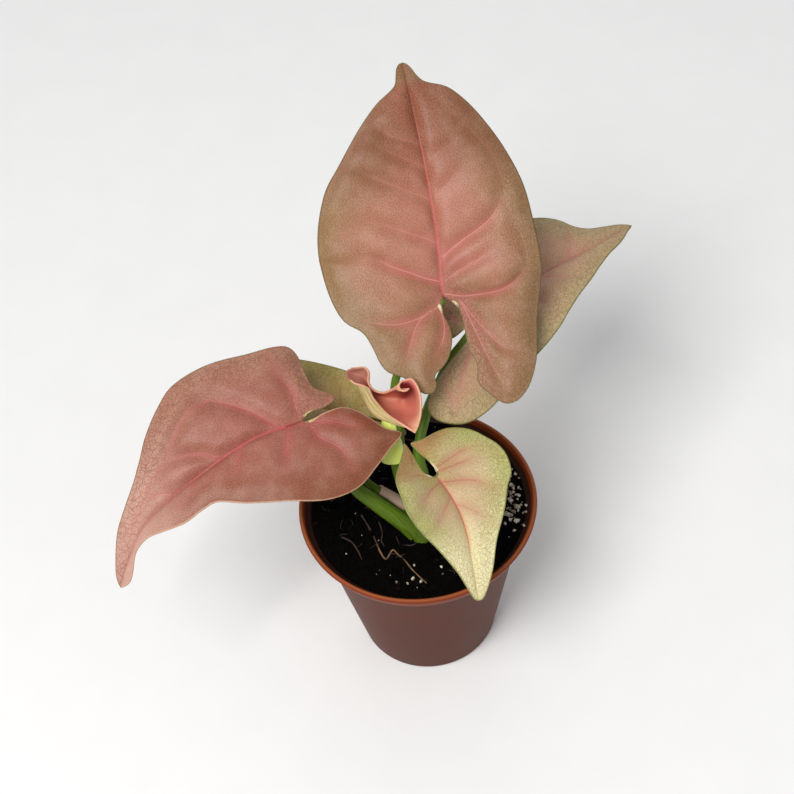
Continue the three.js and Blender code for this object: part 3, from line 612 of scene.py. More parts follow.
# Each leaf's spine, in mm. Its roll and its halves' fold, in degrees, with keys at the lobes, the joint,
# the middle and the tip, and its halves' curl. Its wave's height, reach and length, and its puff between
# the veins. For each half, the outline, the end of the lobe's rib, and the veins, each with how far it
# holds the blade down, its tint and its way. Each lift is a half, a place, a reach and a height.
LEAVES = {
    "blade_tall": {
        "slot": "leaf_rose",
        "spine": [(14.5, 8, 90), (11.5, 23, 100), (11.5, 33, 109), (10.5, 45, 122), (9, 56, 132),
                  (8, 64.5, 137)],
        "roll": (0, 0, 0, 0), "fold": ((10, 10, 10, 5), (10, 10, 10, 5)), "curl": (-0.7, -0.7),
        "wave": (0.5, 25, 24), "puff": 1.35,
        "outline": (
            [(56.3, 0), (55.9, 1), (54.9, 1.8), (53.1, 2.3), (51, 3), (49.5, 4.6), (47, 8.5), (42, 14),
             (35, 20), (28, 25), (18, 28), (8, 28), (0, 25), (-3.5, 21), (-7, 19.7), (-11, 19.1),
             (-13.5, 18.1), (-14.9, 16.5), (-16.6, 14.2), (-19.5, 12.7), (-21.3, 10.8), (-21.3, 9),
             (-19.9, 7.8), (-17.5, 7.4), (-16.1, 5.1), (-14.2, 3), (-11, 1.3), (-8.1, 0.8), (-5.3, 1.1),
             (-1.6, 1.7)],
            [(56.3, 0), (55.7, 0.9), (54.3, 1.8), (52.6, 2.5), (50.9, 3.6), (49.9, 5.1), (48, 9),
             (44, 12.5), (38, 16.1), (31, 19.4), (23, 22), (14, 23.2), (5, 24), (-3, 23), (-10, 20.5),
             (-18.2, 17.7), (-22, 16), (-25.9, 13.3), (-28.3, 10), (-28.4, 7.2), (-26.9, 5.3),
             (-24.7, 3.8), (-22.9, 2.6), (-21, 2.1), (-18.8, 2.8), (-16.8, 3.1), (-14.1, 2.3),
             (-10.9, 2.5), (-6.8, 2.9), (-3, 2.8), (-1.5, 1.8)]),
        "lobe_rib": ((-13, 8.5), (-17, 10.5)),
        "veins": (
            [(1, 1, [(3.7, 0.3), (4.9, 4), (6.3, 7.2), (7.9, 11.1), (11.6, 16.3)]),
             (0.95, 0.4, [(12.9, 0.2), (15.5, 5.1), (18.7, 11.2), (21, 15)]),
             (0.95, 0.3, [(23, 0), (27.1, 6.9), (31.2, 13.8), (33, 16)]),
             (0.8, 0.25, [(30.6, 0.1), (34.9, 6.6), (38, 11)]),
             (0.8, 0.25, [(36.1, 0.2), (39.5, 6.8), (42, 10)]),
             (0.8, 0.75, [(-2, 2.2), (-3.2, 5.5), (-3.9, 9.5), (-3.8, 13.1), (-2.5, 17.5), (-1.1, 20.7)]),
             (0.9, 0.7, [(-2.8, 1.7), (-6.4, 2), (-9.8, 3.3), (-12.8, 5.8)]),
             (0.8, 0.6, [(-2.7, 4.2), (-4.9, 8), (-9, 11), (-13.2, 13.6)])],
            [(1, 1, [(9.7, 1.2), (10.9, 2.7), (12.8, 6), (14.7, 9.8), (16.7, 13), (19.3, 15.3),
                  (21.4, 16.4)]),
             (0.8, 0.5, [(3.8, 0.9), (6.1, 4.7), (8.2, 9.1), (9.7, 12.1)]),
             (1, 1, [(0.6, 0.9), (-0.8, 4.5), (-1.3, 8.5), (-1.4, 13.3), (0.2, 16.8), (3.6, 19.2),
                  (6.8, 20.6)]),
             (0.9, 0.7, [(-1.6, 3.6), (-7, 4.6), (-13.6, 5.5), (-20, 6.7), (-25.2, 7.7)]),
             (0.9, 0.6, [(-2.2, 3.9), (-8.8, 6.5), (-14.8, 9.6), (-16.6, 12)]),
             (0.4, 0.15, [(24, 1.6), (26.8, 5.2), (29.1, 8)]),
             (0.35, 0.15, [(32.7, 1.5), (34.2, 5.4), (35.5, 8.1)]),
             (0.45, 0.15, [(7.8, 20.8), (12.5, 19.5), (17, 18), (21, 17.2), (25.7, 17.1), (30.9, 15.6),
                  (35.8, 12.8), (39.8, 10.1), (45.2, 6.7), (50, 3)])]),
        "lifts": ((0, -8, 2, 4, 0.8),),
    },
    "blade_back": {
        "slot": "leaf_olive",
        "spine": [(9.5, 20, 84), (19.5, 26.5, 86), (36.5, 37, 89), (50.5, 45.5, 88), (63, 55, 85)],
        "roll": (5, 5, 5, 5), "fold": ((8, 8, 8, 5), (8, 8, 8, 5)), "curl": (-0.5, -0.5),
        "wave": (0.5, 20, 26), "puff": 0.9,
        "outline": (
            [(52.5, 0), (49, 2), (45, 3.5), (41, 5), (38, 7.5), (36, 11), (33, 13.5), (29, 15.5),
             (23, 17.5), (15, 19), (6, 20), (-2, 20), (-8, 18.5), (-13, 15), (-15, 11), (-13.5, 7),
             (-11, 3.5), (-7.5, 0.9), (-4.5, 0.7), (-1.3, 1)],
            [(52.5, 0), (50, 1), (45, 3), (39, 4.5), (34, 6.5), (29, 9), (23, 11.5), (18, 13.5),
             (13, 15.5), (5, 17.5), (-4, 19), (-12, 20.5), (-18, 20.5), (-22, 19), (-25, 15), (-25, 11),
             (-22, 8), (-17, 5.5), (-12, 4), (-5, 2.5), (-1.5, 1.5)]),
        "lobe_rib": ((-8, 9.5), (-15, 12)),
        "veins": (
            [(0.7, 0.7, [(30, 0.3), (33, 4), (36, 8)]), (0.8, 0.8, [(19, 0.4), (23, 6), (28, 12)]),
             (0.8, 0.8, [(8, 0.3), (11, 7), (16, 14)]), (0.9, 0.9, [(0.5, 0.8), (-0.5, 7), (-1, 14)]),
             (0.8, 0.8, [(-1.8, 2.5), (-6, 6), (-10, 10)])],
            [(0.8, 0.8, [(19.6, 0.6), (23.3, 4), (27.6, 6.5)]),
             (0.7, 0.7, [(0.2, 0.3), (6.2, 1.6), (12.6, 2.6)]), (0.9, 0.9, [(0.3, 0.8), (1, 7), (3, 13)]),
             (0.8, 0.8, [(10, 0.4), (13, 5), (17, 10)]),
             (0.9, 0.9, [(-2, 2.6), (-6.7, 5.1), (-13.7, 10.2), (-19.8, 15.9)]),
             (0.7, 0.7, [(-15, 7), (-17.3, 8.5), (-19, 12.8), (-21, 16.5)])]),
        "lifts": (),
    },
    "blade_left": {
        "slot": "leaf_rose",
        "spine": [(-15, 10.5, 79), (-25.5, 6.5, 80), (-37, 2.5, 80.5), (-48.5, -3, 78), (-60, -7.5, 72),
                  (-67.5, -10.5, 65), (-75, -15, 50)],
        "roll": (-15, -20, -15, -5), "fold": ((5, 8, 20, 25), (8, 8, 15, 20)), "curl": (-0.5, -0.5),
        "wave": (0.6, 20, 28), "puff": 1.4,
        "outline": (
            [(67, 0), (64, 2.5), (61, 4), (58, 3.5), (54, 2), (48, 3.5), (42, 6.5), (36, 9), (31, 9),
             (27, 9.5), (22, 14), (16, 17.5), (9, 19.5), (1, 21), (-6, 20.5), (-12, 17.5), (-17, 14.5),
             (-21, 12), (-18, 9.5), (-15, 5.5), (-11, 1.5), (-6, 1), (-1.5, 1)],
            [(67, 0), (64, 2), (59, 3.5), (53, 5), (47, 6.5), (42, 9), (38, 11.5), (33, 15.5), (27, 19),
             (21, 21.5), (14, 22), (7, 20.5), (0, 20), (-4, 19), (-5.5, 16), (-5.5, 11), (-6, 7),
             (-10, 3.2), (-7, 1.5), (-3, 1.5), (-1, 1)]),
        "lobe_rib": ((-11, 9.5), (-4.5, 5)),
        "veins": (
            [(0.8, 0.8, [(0.1, 0.6), (-2.8, 1.8), (-5.9, 3.4), (-12, 7.3)]),
             (0.6, 0.9, [(3.5, 0.4), (4.1, 1.5), (6.3, 6), (8.7, 10.3)]),
             (0.5, 0.6, [(-1.6, 3), (-2.1, 6.2), (-5.4, 10.4), (-6, 16.2)]),
             (0.6, 0.6, [(16, 0.4), (19, 4), (22, 8)]), (0.5, 0.5, [(28, 0.4), (31, 3), (34, 6)])],
            [(1, 1, [(20.5, 0.2), (21.7, 0.4), (23.8, 3.1), (26.8, 5.3), (32.4, 7.9)]),
             (1, 1, [(5.8, 0.6), (8.1, 3.2), (10.4, 6.4), (13.2, 10), (17.7, 14.9)]),
             (0.7, 0.4, [(16, 13.5), (20.9, 13.8), (25.7, 11.9), (28.9, 9.9), (33.5, 7.6), (38.6, 5.9),
                  (43.2, 3.6), (48.1, 2.1), (54.1, 1.7), (63.1, 0.6)]),
             (0.6, 0.8, [(0.5, 1.2), (0.2, 4.5), (-0.1, 7.9), (1, 12)]),
             (0.6, 0.6, [(35, 0.3), (38, 2.5), (42, 4.2)])]),
        "lifts": ((0, -6.5, 0.5, 4.5, 2.2), (0, -13, 4, 5, 1.5)),
    },
    "blade_front": {
        "slot": "leaf_cream",
        "spine": [(-1, -5, 82), (5, -11.5, 76), (8.5, -16.5, 72), (10.5, -22.5, 67), (11.5, -35, 58)],
        "roll": (0, 0, 0, 0), "fold": ((5, 5, 5, 5), (25, 25, 25, 15)), "curl": (-0.3, -0.3),
        "wave": (0.3, 15, 18), "puff": 0.6,
        "outline": (
            [(31, 0), (30.4, 1.2), (28, 2.7), (24, 4.5), (18, 6.5), (14, 9), (10, 12.5), (7.5, 15.5),
             (4, 17.2), (0, 16), (-3.5, 14), (-6.5, 10.5), (-8, 7), (-9, 3), (-10, 0.6), (-7.5, 0.5),
             (-4, 1), (-1.2, 1)],
            [(31, 0), (30.3, 1.1), (28, 2.2), (24, 4), (20, 6.5), (13, 11), (7, 13.5), (2, 14.8),
             (-3, 13.5), (-6.5, 11.5), (-8.5, 7), (-10, 3), (-11, 1.2), (-8.5, 1.4), (-5.5, 2.4),
             (-3, 2.8), (-1.2, 1.6)]),
        "lobe_rib": ((-4.5, 5), (-4.5, 6)),
        "veins": (
            [(1, 1, [(1.4, 0.3), (2.1, 0.8), (4.9, 6), (7.8, 9.9)]),
             (1, 1, [(-0.9, 0.8), (1.3, 8), (2.2, 11.4)]),
             (0.9, 0.9, [(-1.7, 1.3), (-0.9, 8.5), (0.3, 12.3)]),
             (0.5, 0.5, [(8, 0.3), (11, 3.5), (14, 6.5)])],
            [(0.9, 0.9, [(0.9, 0.2), (1.3, 1), (1.5, 5), (2.5, 9)]),
             (0.6, 0.6, [(5.5, 0.3), (7.5, 4), (9.5, 8)]),
             (0.8, 0.8, [(-1.4, 1.8), (-3.6, 5), (-5.2, 8)])]),
        "lifts": (),
    },
    "blade_under": {
        "slot": "leaf_olive",
        "spine": [(-6, 14, 67), (-14.5, 17, 68), (-26.5, 21.5, 69), (-39, 25.5, 68), (-51.5, 28.5, 64)],
        "roll": (-5, -5, -5, -5), "fold": ((5, 5, 5, 5), (5, 5, 5, 5)), "curl": (-0.3, -0.3),
        "wave": (0.4, 12, 20), "puff": 0.6,
        "outline": (
            [(39.5, 0), (34, 5), (27, 9.5), (19, 12.5), (10, 13.5), (2, 12.5), (-5, 9.5), (-10, 6.5),
             (-13.5, 4.2), (-15.2, 2.2), (-14.3, 0.8), (-12, 0.4), (-8, 0.3), (-4, 0.3), (-1.3, 0.35)],
            [(39.5, 0), (34, 6), (28, 10), (20, 12), (12, 12.5), (5, 12), (0, 10.3), (-4, 8.5), (-8, 6.4),
             (-11.5, 4.2), (-13.8, 2.2), (-13.4, 0.8), (-11.5, 0.4), (-8, 0.3), (-4, 0.3), (-1.3, 0.35)]),
        "lobe_rib": ((-8, 4), (-7, 3.6)),
        "veins": (
            [(0.8, 0.8, [(1.2, 0.4), (3.2, 3.3), (4.4, 6.6), (6.5, 9.5)]),
             (0.7, 0.7, [(12, 0.3), (15, 4), (19, 7.5)]),
             (0.8, 0.8, [(-1.2, 1.4), (-5, 3), (-9.5, 4.4)])],
            [(0.8, 0.8, [(1.2, 0.4), (3.2, 3.3), (4.4, 6.6), (6.5, 9)]),
             (0.7, 0.7, [(12, 0.3), (15, 4), (19, 7.5)]),
             (0.7, 0.7, [(-1.2, 1.6), (-3.2, 3.6), (-5, 5.2)])]),
        "lifts": (),
    },
}


def keyed(values, u, back, front):
    """Values at u of four keys set at the lobes, the joint, the middle and the tip."""
    return np.interp(u, [-back, 0, front / 2, front], values)


def bent(leaf, u, v):
    """Places on the bent blade of points of the flat leaf, v negative on its first half."""
    curve = curve_through(leaf["spine"])
    joint = curve[0][CURVE_STEPS]
    back, front = joint, curve[0][-1] - joint
    forward = unit(along(curve, joint + u + 0.5) - along(curve, joint + u - 0.5))
    level = unit(np.cross(forward, [0, 0, 1]))
    face = np.cross(level, forward)
    tilt = np.radians(keyed(leaf["roll"], u, back, front))[:, None]
    side = level * np.cos(tilt) - face * np.sin(tilt)
    normal = face * np.cos(tilt) + level * np.sin(tilt)
    first = v < 0
    width = np.abs(v)
    start = np.radians(np.where(first, keyed(leaf["fold"][0], u, back, front),
                                keyed(leaf["fold"][1], u, back, front)))
    turn = np.radians(np.where(first, leaf["curl"][0], leaf["curl"][1])) + 1e-6
    out = (np.sin(start + turn * width) - np.sin(start)) / turn
    rise = (np.cos(start) - np.cos(start + turn * width)) / turn
    height, reach, length = leaf["wave"]
    phase = 2 * np.pi * u / length + 2 * np.where(first, 0, 1)
    rise = rise + height * (width / reach) ** 2 * np.sin(phase)
    return along(curve, joint + u) + side * (out * np.sign(v))[:, None] + normal * rise[:, None]


def half_rows(outline, lobe_rib):
    """Inner ends, outer ends and outline of a half's rows on the flat leaf, from the tip to the notch."""
    lengths, edge = curve_through(outline, OUTLINE_STEPS)
    edge = along((lengths, edge), np.linspace(0, lengths[-1], OUTLINE_MARKS))
    slanted = edge[:, 0] - SLANT * edge[:, 1]
    hip = int(np.argmax(slanted <= 0))
    lobe_end = int(edge[:, 0].argmin())
    front = edge[0, 0]
    inner, outer = [], []
    for u in np.linspace(front, 0, round(front / PITCH), endpoint=False):
        inner.append((u, 0))
        outer.append(edge[np.argmax(slanted <= u + 1e-9)])
    end = np.array(lobe_rib, float)
    aim = unit(edge[lobe_end] - end) * RIB_ARC * np.linalg.norm(end)
    middle = end - aim
    for first, last in ((hip, lobe_end), (lobe_end, len(edge) - 1)):
        outward = last == lobe_end
        for row in range(0 if outward else 1, LOBE_ROWS + 1):
            share = row / LOBE_ROWS
            t = share if outward else max(1 - share, 1 / LOBE_ROWS)
            inner.append(2 * t * (1 - t) * middle + t * t * end)
            outer.append(edge[round(first + (last - first) * share)])
    inner.append((0, 0))
    outer.append((0, 0))
    return np.array(inner, float), np.array(outer, float), edge


def beside(line, spots):
    """Signed distance of flat spots from a line, and the length along it to each one's foot."""
    steps = np.diff(line, axis=0)
    reach = spots[:, None] - line[:-1]
    share = np.clip((reach * steps).sum(-1) / (steps ** 2).sum(-1), 0, 1)
    apart = np.linalg.norm(reach - share[..., None] * steps, axis=-1)
    nearest = apart.argmin(axis=1)
    pick = np.arange(len(spots))
    step, off = steps[nearest], reach[pick, nearest]
    side = np.where(step[:, 0] * off[:, 1] - step[:, 1] * off[:, 0] < 0, -1, 1)
    starts = np.concatenate([[0], np.cumsum(np.linalg.norm(steps, axis=1))])
    return side * apart[pick, nearest], starts[nearest] + share[pick, nearest] * np.diff(starts)[nearest]


def vein_fields(veins, spots):
    """For flat spots of one half: signed distance from the nearest side vein, its tint there, and how far
    all veins together hold the blade down. The sign changes only across a vein, so that it can be read
    between points of the mesh."""
    distances, tints, holds = [], [], []
    sign = np.ones(len(spots))
    # A vein's tint fades over its last third, and its hold runs on a little past its end.
    for hold, tint, way in veins:
        lengths, line = curve_through(way, 12)
        start, end = line[0], line[-1]
        head = np.array([(start[0], -6), start])
        tail = end + 40 * unit(line[-1] - line[-2])
        line = np.vstack([head[:1], line, tail])
        lead = np.linalg.norm(head[1] - head[0])
        signed, run = beside(line, spots)
        share = (run - lead) / lengths[-1]
        fade = np.clip((1.02 - share) / 0.35, 0, 1) * (1 - 0.45 * np.clip(share, 0, 1)) * (share > -0.02)
        distances.append(signed)
        tints.append(tint * fade)
        holds.append(hold * np.clip((1.3 - share) / 0.5, 0, 1) * (share > -0.02))
        sign = sign * np.sign(signed + 1e-12)
    distances = np.abs(distances)
    nearest = distances.argmin(axis=0)
    pick = np.arange(len(spots))
    held = np.prod(1 - np.array(holds) * np.exp(-((distances / 2) ** 2)), axis=0)
    return sign * distances[nearest, pick], np.array(tints)[nearest, pick], held


def mask(tree, *parts):
    """Product of its parts. A tuple is a smooth fade: what it reads, where it starts and ends, and its
    values there if they aren't 0 and 1."""
    product = None
    for part in parts:
        if isinstance(part, tuple):
            reading = dict(zip(("Value", "From Min", "From Max", "To Min", "To Max"), part))
            part = put(tree, "MapRange", reading, interpolation_type="SMOOTHSTEP")
        product = put(tree, "Math", {0: product, 1: part}, operation="MULTIPLY") if product else part
    return product


def leaf_finish(name, centre, margin, flush, net, vein, rim, midrib, net_strength=0.5, speckle=0.4,
                cover=9.0, roughness=0.46, ends=(), net_sides=(1.0, 1.0), notch="#E3D6A6",
                first_rim=None, first_margin=None, cells=0.7, rib_ends=(28.0, 56.0)):
    """Leaf skin that reads the flat leaf: a ground from the midrib to the margin, a flush of pink, a fine
    net of veinlets, side veins, a midrib and a thin tinted rim. Cover is the width of the margin in mm,
    and each of the ends is a tone that comes in between two places along the leaf. First rim and first
    margin are the first half's own tones. Net sides are the strengths of the net on the first half and on
    the second, cells the number of its cells to a mm, and the midrib fades out between the rib ends."""
    finish, tree, shader = blank_finish(name, Roughness=roughness, IOR=1.42, Subsurface_Weight=0.05,
                                        Subsurface_Scale=0.0006)
    flat, veins = (put(tree, "Attribute", attribute_name=layer).outputs["Vector"]
                   for layer in ("flat", "vein"))
    u, v, from_rim = put(tree, "SeparateXYZ", {"Vector": flat}).outputs
    signed, strength, _ = put(tree, "SeparateXYZ", {"Vector": veins}).outputs
    plane = put(tree, "CombineXYZ", {"X": u, "Y": v})
    from_vein, from_midrib = (put(tree, "Math", {0: apart}, operation="ABSOLUTE")
                              for apart in (signed, v))
    from_stalk = put(tree, "VectorMath", {0: plane}, operation="LENGTH").outputs["Value"]
    # Patches 8 mm across, clouds 5 mm across, grain of cells 0.3 mm across, and bends of the net.
    patches, clouds, grains, bends = (
        put(tree, "TexNoise", {"Vector": plane, "Scale": scale, "Detail": detail, "Roughness": rough})
        for scale, detail, rough in ((0.12, 3, 0.5), (0.22, 3, 0.5), (3, 2.5, 0.8), (0.5, 2, 0.5)))
    drift = put(tree, "Math", {0: patches, 1: 8.0, 2: from_rim}, operation="MULTIPLY_ADD")
    # The flush is thicker near the midrib and the veins.
    close = put(tree, "Math", {0: mask(tree, (from_midrib, 13.0, 0.0, 0.12, 0.8)),
                               1: mask(tree, (from_vein, 3.0, 0.0), strength)}, operation="MAXIMUM")
    # Crimson grains crowd round the joint and along the veins that start there.
    crowd = put(tree, "Math", {0: mask(tree, (from_stalk, 9.0, 1.0, 0.0, 0.8)),
                               1: mask(tree, (from_stalk, 24.0, 4.0), (from_vein, 2.6, 0.3))},
                operation="MAXIMUM")
    # Net of veinlets: cells 1.4 mm wide with smaller ones inside, and lines 0.1 mm wide.
    warp = put(tree, "VectorMath", {0: bends.outputs["Color"], 1: (1.6, 1.6, 0)}, operation="MULTIPLY")
    bent_plane = put(tree, "VectorMath", {0: plane, 1: warp}, operation="ADD")
    wide, narrow = (
        put(tree, "TexVoronoi", {"Vector": bent_plane, "Scale": scale}, feature="DISTANCE_TO_EDGE")
        for scale in (cells, 2.4 * cells))
    lines = put(tree, "Math", {0: mask(tree, (wide, 0.09, 0.0)),
                               1: mask(tree, (narrow, 0.13, 0.0, 0.0, 0.45))}, operation="MAXIMUM")
    nets = mask(tree, (from_rim, 9.0, 2.0, 0.15, 1.0), (v, -0.5, 0.5, *net_sides), lines)
    # A side vein is a line 0.25 mm wide. The midrib is half a millimetre wide at the stalk and a fine
    # line at the tip.
    line = mask(tree, (from_vein, 0.24, 0.05), strength)
    slim = mask(tree, (u, -2.0, 50.0, 0.3, 0.1))
    rib = put(tree, "Math", {0: from_midrib, 1: slim}, operation="DIVIDE")
    on_blade = mask(tree, (u, -1.5, 0.5), (from_rim, 1.0, 4.0), (u, *rib_ends, 1.0, 0.0))
    second_half = mask(tree, (v, -0.5, 0.5))
    tone, rims = (
        put(tree, "Mix", {"Factor": second_half, "A": first or second, "B": second}, data_type="RGBA")
        for first, second in ((first_margin, margin), (first_rim, rim)))
    # Layers of colour from the ground up, each with the parts of its mask.
    for colour, blend, *parts in (
            (centre, "MIX", (drift, 4.0, 4.0 + cover)),
            *((colour, "MIX", (u, first, last)) for first, last, colour in ends),
            # Paler clouds and darker grain.
            ("#4E4038", "SCREEN", (clouds, 0.42, 0.68)),
            ("#A89C90", "MULTIPLY", (grains, 0.64, 0.36, 0.0, 0.65)),
            # Flush and crimson in the grain.
            (flush, "MIX", (grains, 0.42, 0.66, 0.0, speckle), close),
            (midrib, "MIX", (grains, 0.44, 0.6, 0.0, speckle), crowd),
            (net, "MIX", nets, net_strength),
            # Side veins: a soft flush 1.5 mm wide, and the line in it.
            (midrib, "MIX", (from_vein, 1.3, 0.1, 0.0, 0.22), strength),
            (vein, "MIX", line, 0.6),
            # Midrib, with a flush beside it.
            (flush, "MIX", (rib, 4.0, 0.4, 0.0, 0.4), on_blade),
            (midrib, "MIX", (rib, 1.3, 0.4), on_blade, (grains, 0.3, 0.6, 0.45, 0.75)),
            # The rim, which is cream in the notch round the stalk.
            (rims, "MIX", (from_rim, 0.38, 0.12, 0.0, 0.85)),
            (notch, "MIX", (from_stalk, 4.6, 2.6), (from_rim, 0.5, 0.28))):
        tone = put(tree, "Mix", {"Factor": mask(tree, *parts), "A": tone, "B": colour}, data_type="RGBA",
                   blend_type=blend)
    # The net and the veins are pressed in a few hundredths of a millimetre, over grain 0.3 mm across.
    height = put(tree, "TexNoise", {"Vector": plane, "Scale": 3.0, "Detail": 2.0})
    for pressed, depth in ((nets, -0.7), (line, -1.2)):
        height = put(tree, "Math", {0: pressed, 1: depth, 2: height}, operation="MULTIPLY_ADD")
    bump = put(tree, "Bump", {"Height": height, "Strength": 0.5, "Distance": 0.00016})
    gloss = mask(tree, (nets, 0.0, 1.0, roughness, roughness + 0.15))
    fill(tree, shader, {"Base Color": tone, "Normal": bump, "Roughness": gloss})
    return finish


# Leaf skins, live tissue under a thin satin cuticle. The tall leaf is tan-pink with a rosy middle, the
# left one dusky rose, the back and the lowest ones olive-tan, and the front one cream-lime.
LEAF_FINISHES = {
    "blade_tall": leaf_finish(
        "dusty_pink_leaf", "#BC8268", "#9A7A50", "#C4625C", "#7A4E38", "#DC9C88", "#6E6238", "#C25860",
        net_strength=0.45, speckle=0.75, cover=14.0, net_sides=(0.25, 1.0),
        # Painted shade: the tall leaf's upper half turns a darker brown, where it turns away from the
        # light; its olive tip is its own colour.
        ends=((20.0, 40.0, "#90603F"), (49.5, 52.5, "#806E40"))),
    "blade_back": leaf_finish(
        "olive_tan_leaf", "#CAA080", "#C2AE7E", "#C98078", "#84684A", "#CE7A74", "#77703A", "#CC6A78",
        net_strength=0.6, speckle=0.35, rib_ends=(60.0, 70.0)),
    "blade_left": leaf_finish(
        "dusky_rose_leaf", "#AA6C58", "#BC886E", "#C4605C", "#824836", "#BE6660", "#86684A", "#C04E58",
        # Painted highlight and shade: the left leaf pales towards its tip, where it faces the light; its
        # near half has a darker margin, turned away from the light, and a lighter rim, where its edge
        # catches the light.
        net_strength=0.6, speckle=0.45, net_sides=(0.2, 1.0), ends=((24.0, 52.0, "#E0B2A0"),),
        first_rim="#CFA486", first_margin="#96583C", notch="#C8B87A", rib_ends=(60.0, 68.0)),
    "blade_front": leaf_finish(
        "cream_lime_leaf", "#DCC898", "#CED484", "#DC8E6C", "#94703F", "#BC6258", "#8E9048", "#C45E5A",
        net_strength=0.55, speckle=0.5, cover=7.0, cells=1.15, rib_ends=(15.0, 22.0),
        # Painted highlight: the front leaf pales to near white towards its tip, for the sheen there.
        ends=((-3.0, -8.0, "#B8945C"), (8.0, 22.0, "#FFFFC8"))),
    "blade_under": leaf_finish(
        "shaded_olive_leaf", "#C0A468", "#AEA052", "#B08A60", "#76662F", "#96603A", "#6A6A30", "#A87050",
        net_strength=0.5, speckle=0.3, notch="#A09448",
        ends=((-9.0, -12.0, "#A9B53E"), (-13.2, -14.2, "#BE989A"))),
}
# Undersides are paler and matter, with raised veins in the same places. The left leaf shares the tall
# one's, and the lowest leaf the back one's.
UNDER_FINISHES = {
    "blade_tall": leaf_finish(
        "pale_pink_underside", "#B79478", "#AA9A70", "#C48C80", "#93785A", "#C68A80", "#6E6238",
        "#C98888", net_strength=0.4, speckle=0.3, roughness=0.58),
    "blade_back": leaf_finish(
        "pale_olive_underside", "#AE9C72", "#A3A068", "#B9907A", "#8A7A50", "#BB8A74", "#77703A",
        "#BE8A7C", net_strength=0.4, speckle=0.3, roughness=0.58),
    "blade_front": leaf_finish(
        "pale_lime_underside", "#C9C08A", "#BFCB7C", "#CDB08C", "#9C9460", "#BE9A78", "#B4C050",
        "#C49A80", net_strength=0.35, speckle=0.2, roughness=0.58),
}
UNDER_FINISHES["blade_left"] = UNDER_FINISHES["blade_tall"]
UNDER_FINISHES["blade_under"] = UNDER_FINISHES["blade_back"]

for node, leaf in LEAVES.items():
    bm = bmesh.new()
    flat_layer = bm.verts.layers.float_vector.new("flat")
    vein_layer = bm.verts.layers.float_vector.new("vein")
    for half, towards in ((0, -1), (1, 1)):
        inner, outer, edge = half_rows(leaf["outline"][half], leaf["lobe_rib"][half])
        rows = len(inner) - 1
        before = set(bm.faces)
        points, across, down = grid_shares(bm, COLUMNS, rows)
        row = np.rint(down * rows).astype(int)
        spots = inner[row] + (outer[row] - inner[row]) * across[:, None]
        from_rim = np.min([np.linalg.norm(spots - mark, axis=1) for mark in edge[::4]], axis=0)
        signed, tint, held = vein_fields(leaf["veins"][half], spots)
        u, w = spots[:, 0], spots[:, 1]
        v = towards * w
        own_side = v + towards * 1e-6
        surface = bent(leaf, u, own_side)
        slope_across = bent(leaf, u, v + 0.4) - bent(leaf, u, v - 0.4)
        slope_along = bent(leaf, u + 0.4, own_side) - bent(leaf, u - 0.4, own_side)
        up = unit(np.cross(slope_across, slope_along))
        middle = 1 - np.exp(-((w / RISE_AT_MIDRIB) ** 2)) * np.clip((u + 3) / 3, 0, 1)
        lift = leaf["puff"] * held * middle * (1 - np.exp(-((from_rim / RISE_AT_MARGIN) ** 2)))
        crease = CREASE_DEPTH * np.exp(-((w / CREASE_WIDTH) ** 2)) * np.clip((u + 1) / 2, 0, 1)
        lift = lift - crease
        for lifted, at_u, at_w, reach, height in leaf["lifts"]:
            if lifted == half:
                lift = lift + height * np.exp(-(((u - at_u) ** 2 + (w - at_w) ** 2) / reach ** 2))
        places = surface + up * lift[:, None]
        place_points(points, places, [(flat_layer, np.stack([u, v, from_rim], -1)),
                                      (vein_layer, np.stack([signed, tint, 0 * u], -1))])
        if half == 0:
            bmesh.ops.reverse_faces(bm, faces=[face for face in bm.faces if face not in before])
    bmesh.ops.remove_doubles(bm, verts=bm.verts, dist=0.01)
    blade = keep(bm, node.replace("blade_", "") + "_leaf", [LEAF_FINISHES[node], UNDER_FINISHES[node]],
                 node)
    thicken(blade, BLADE_THICKNESS, 1)
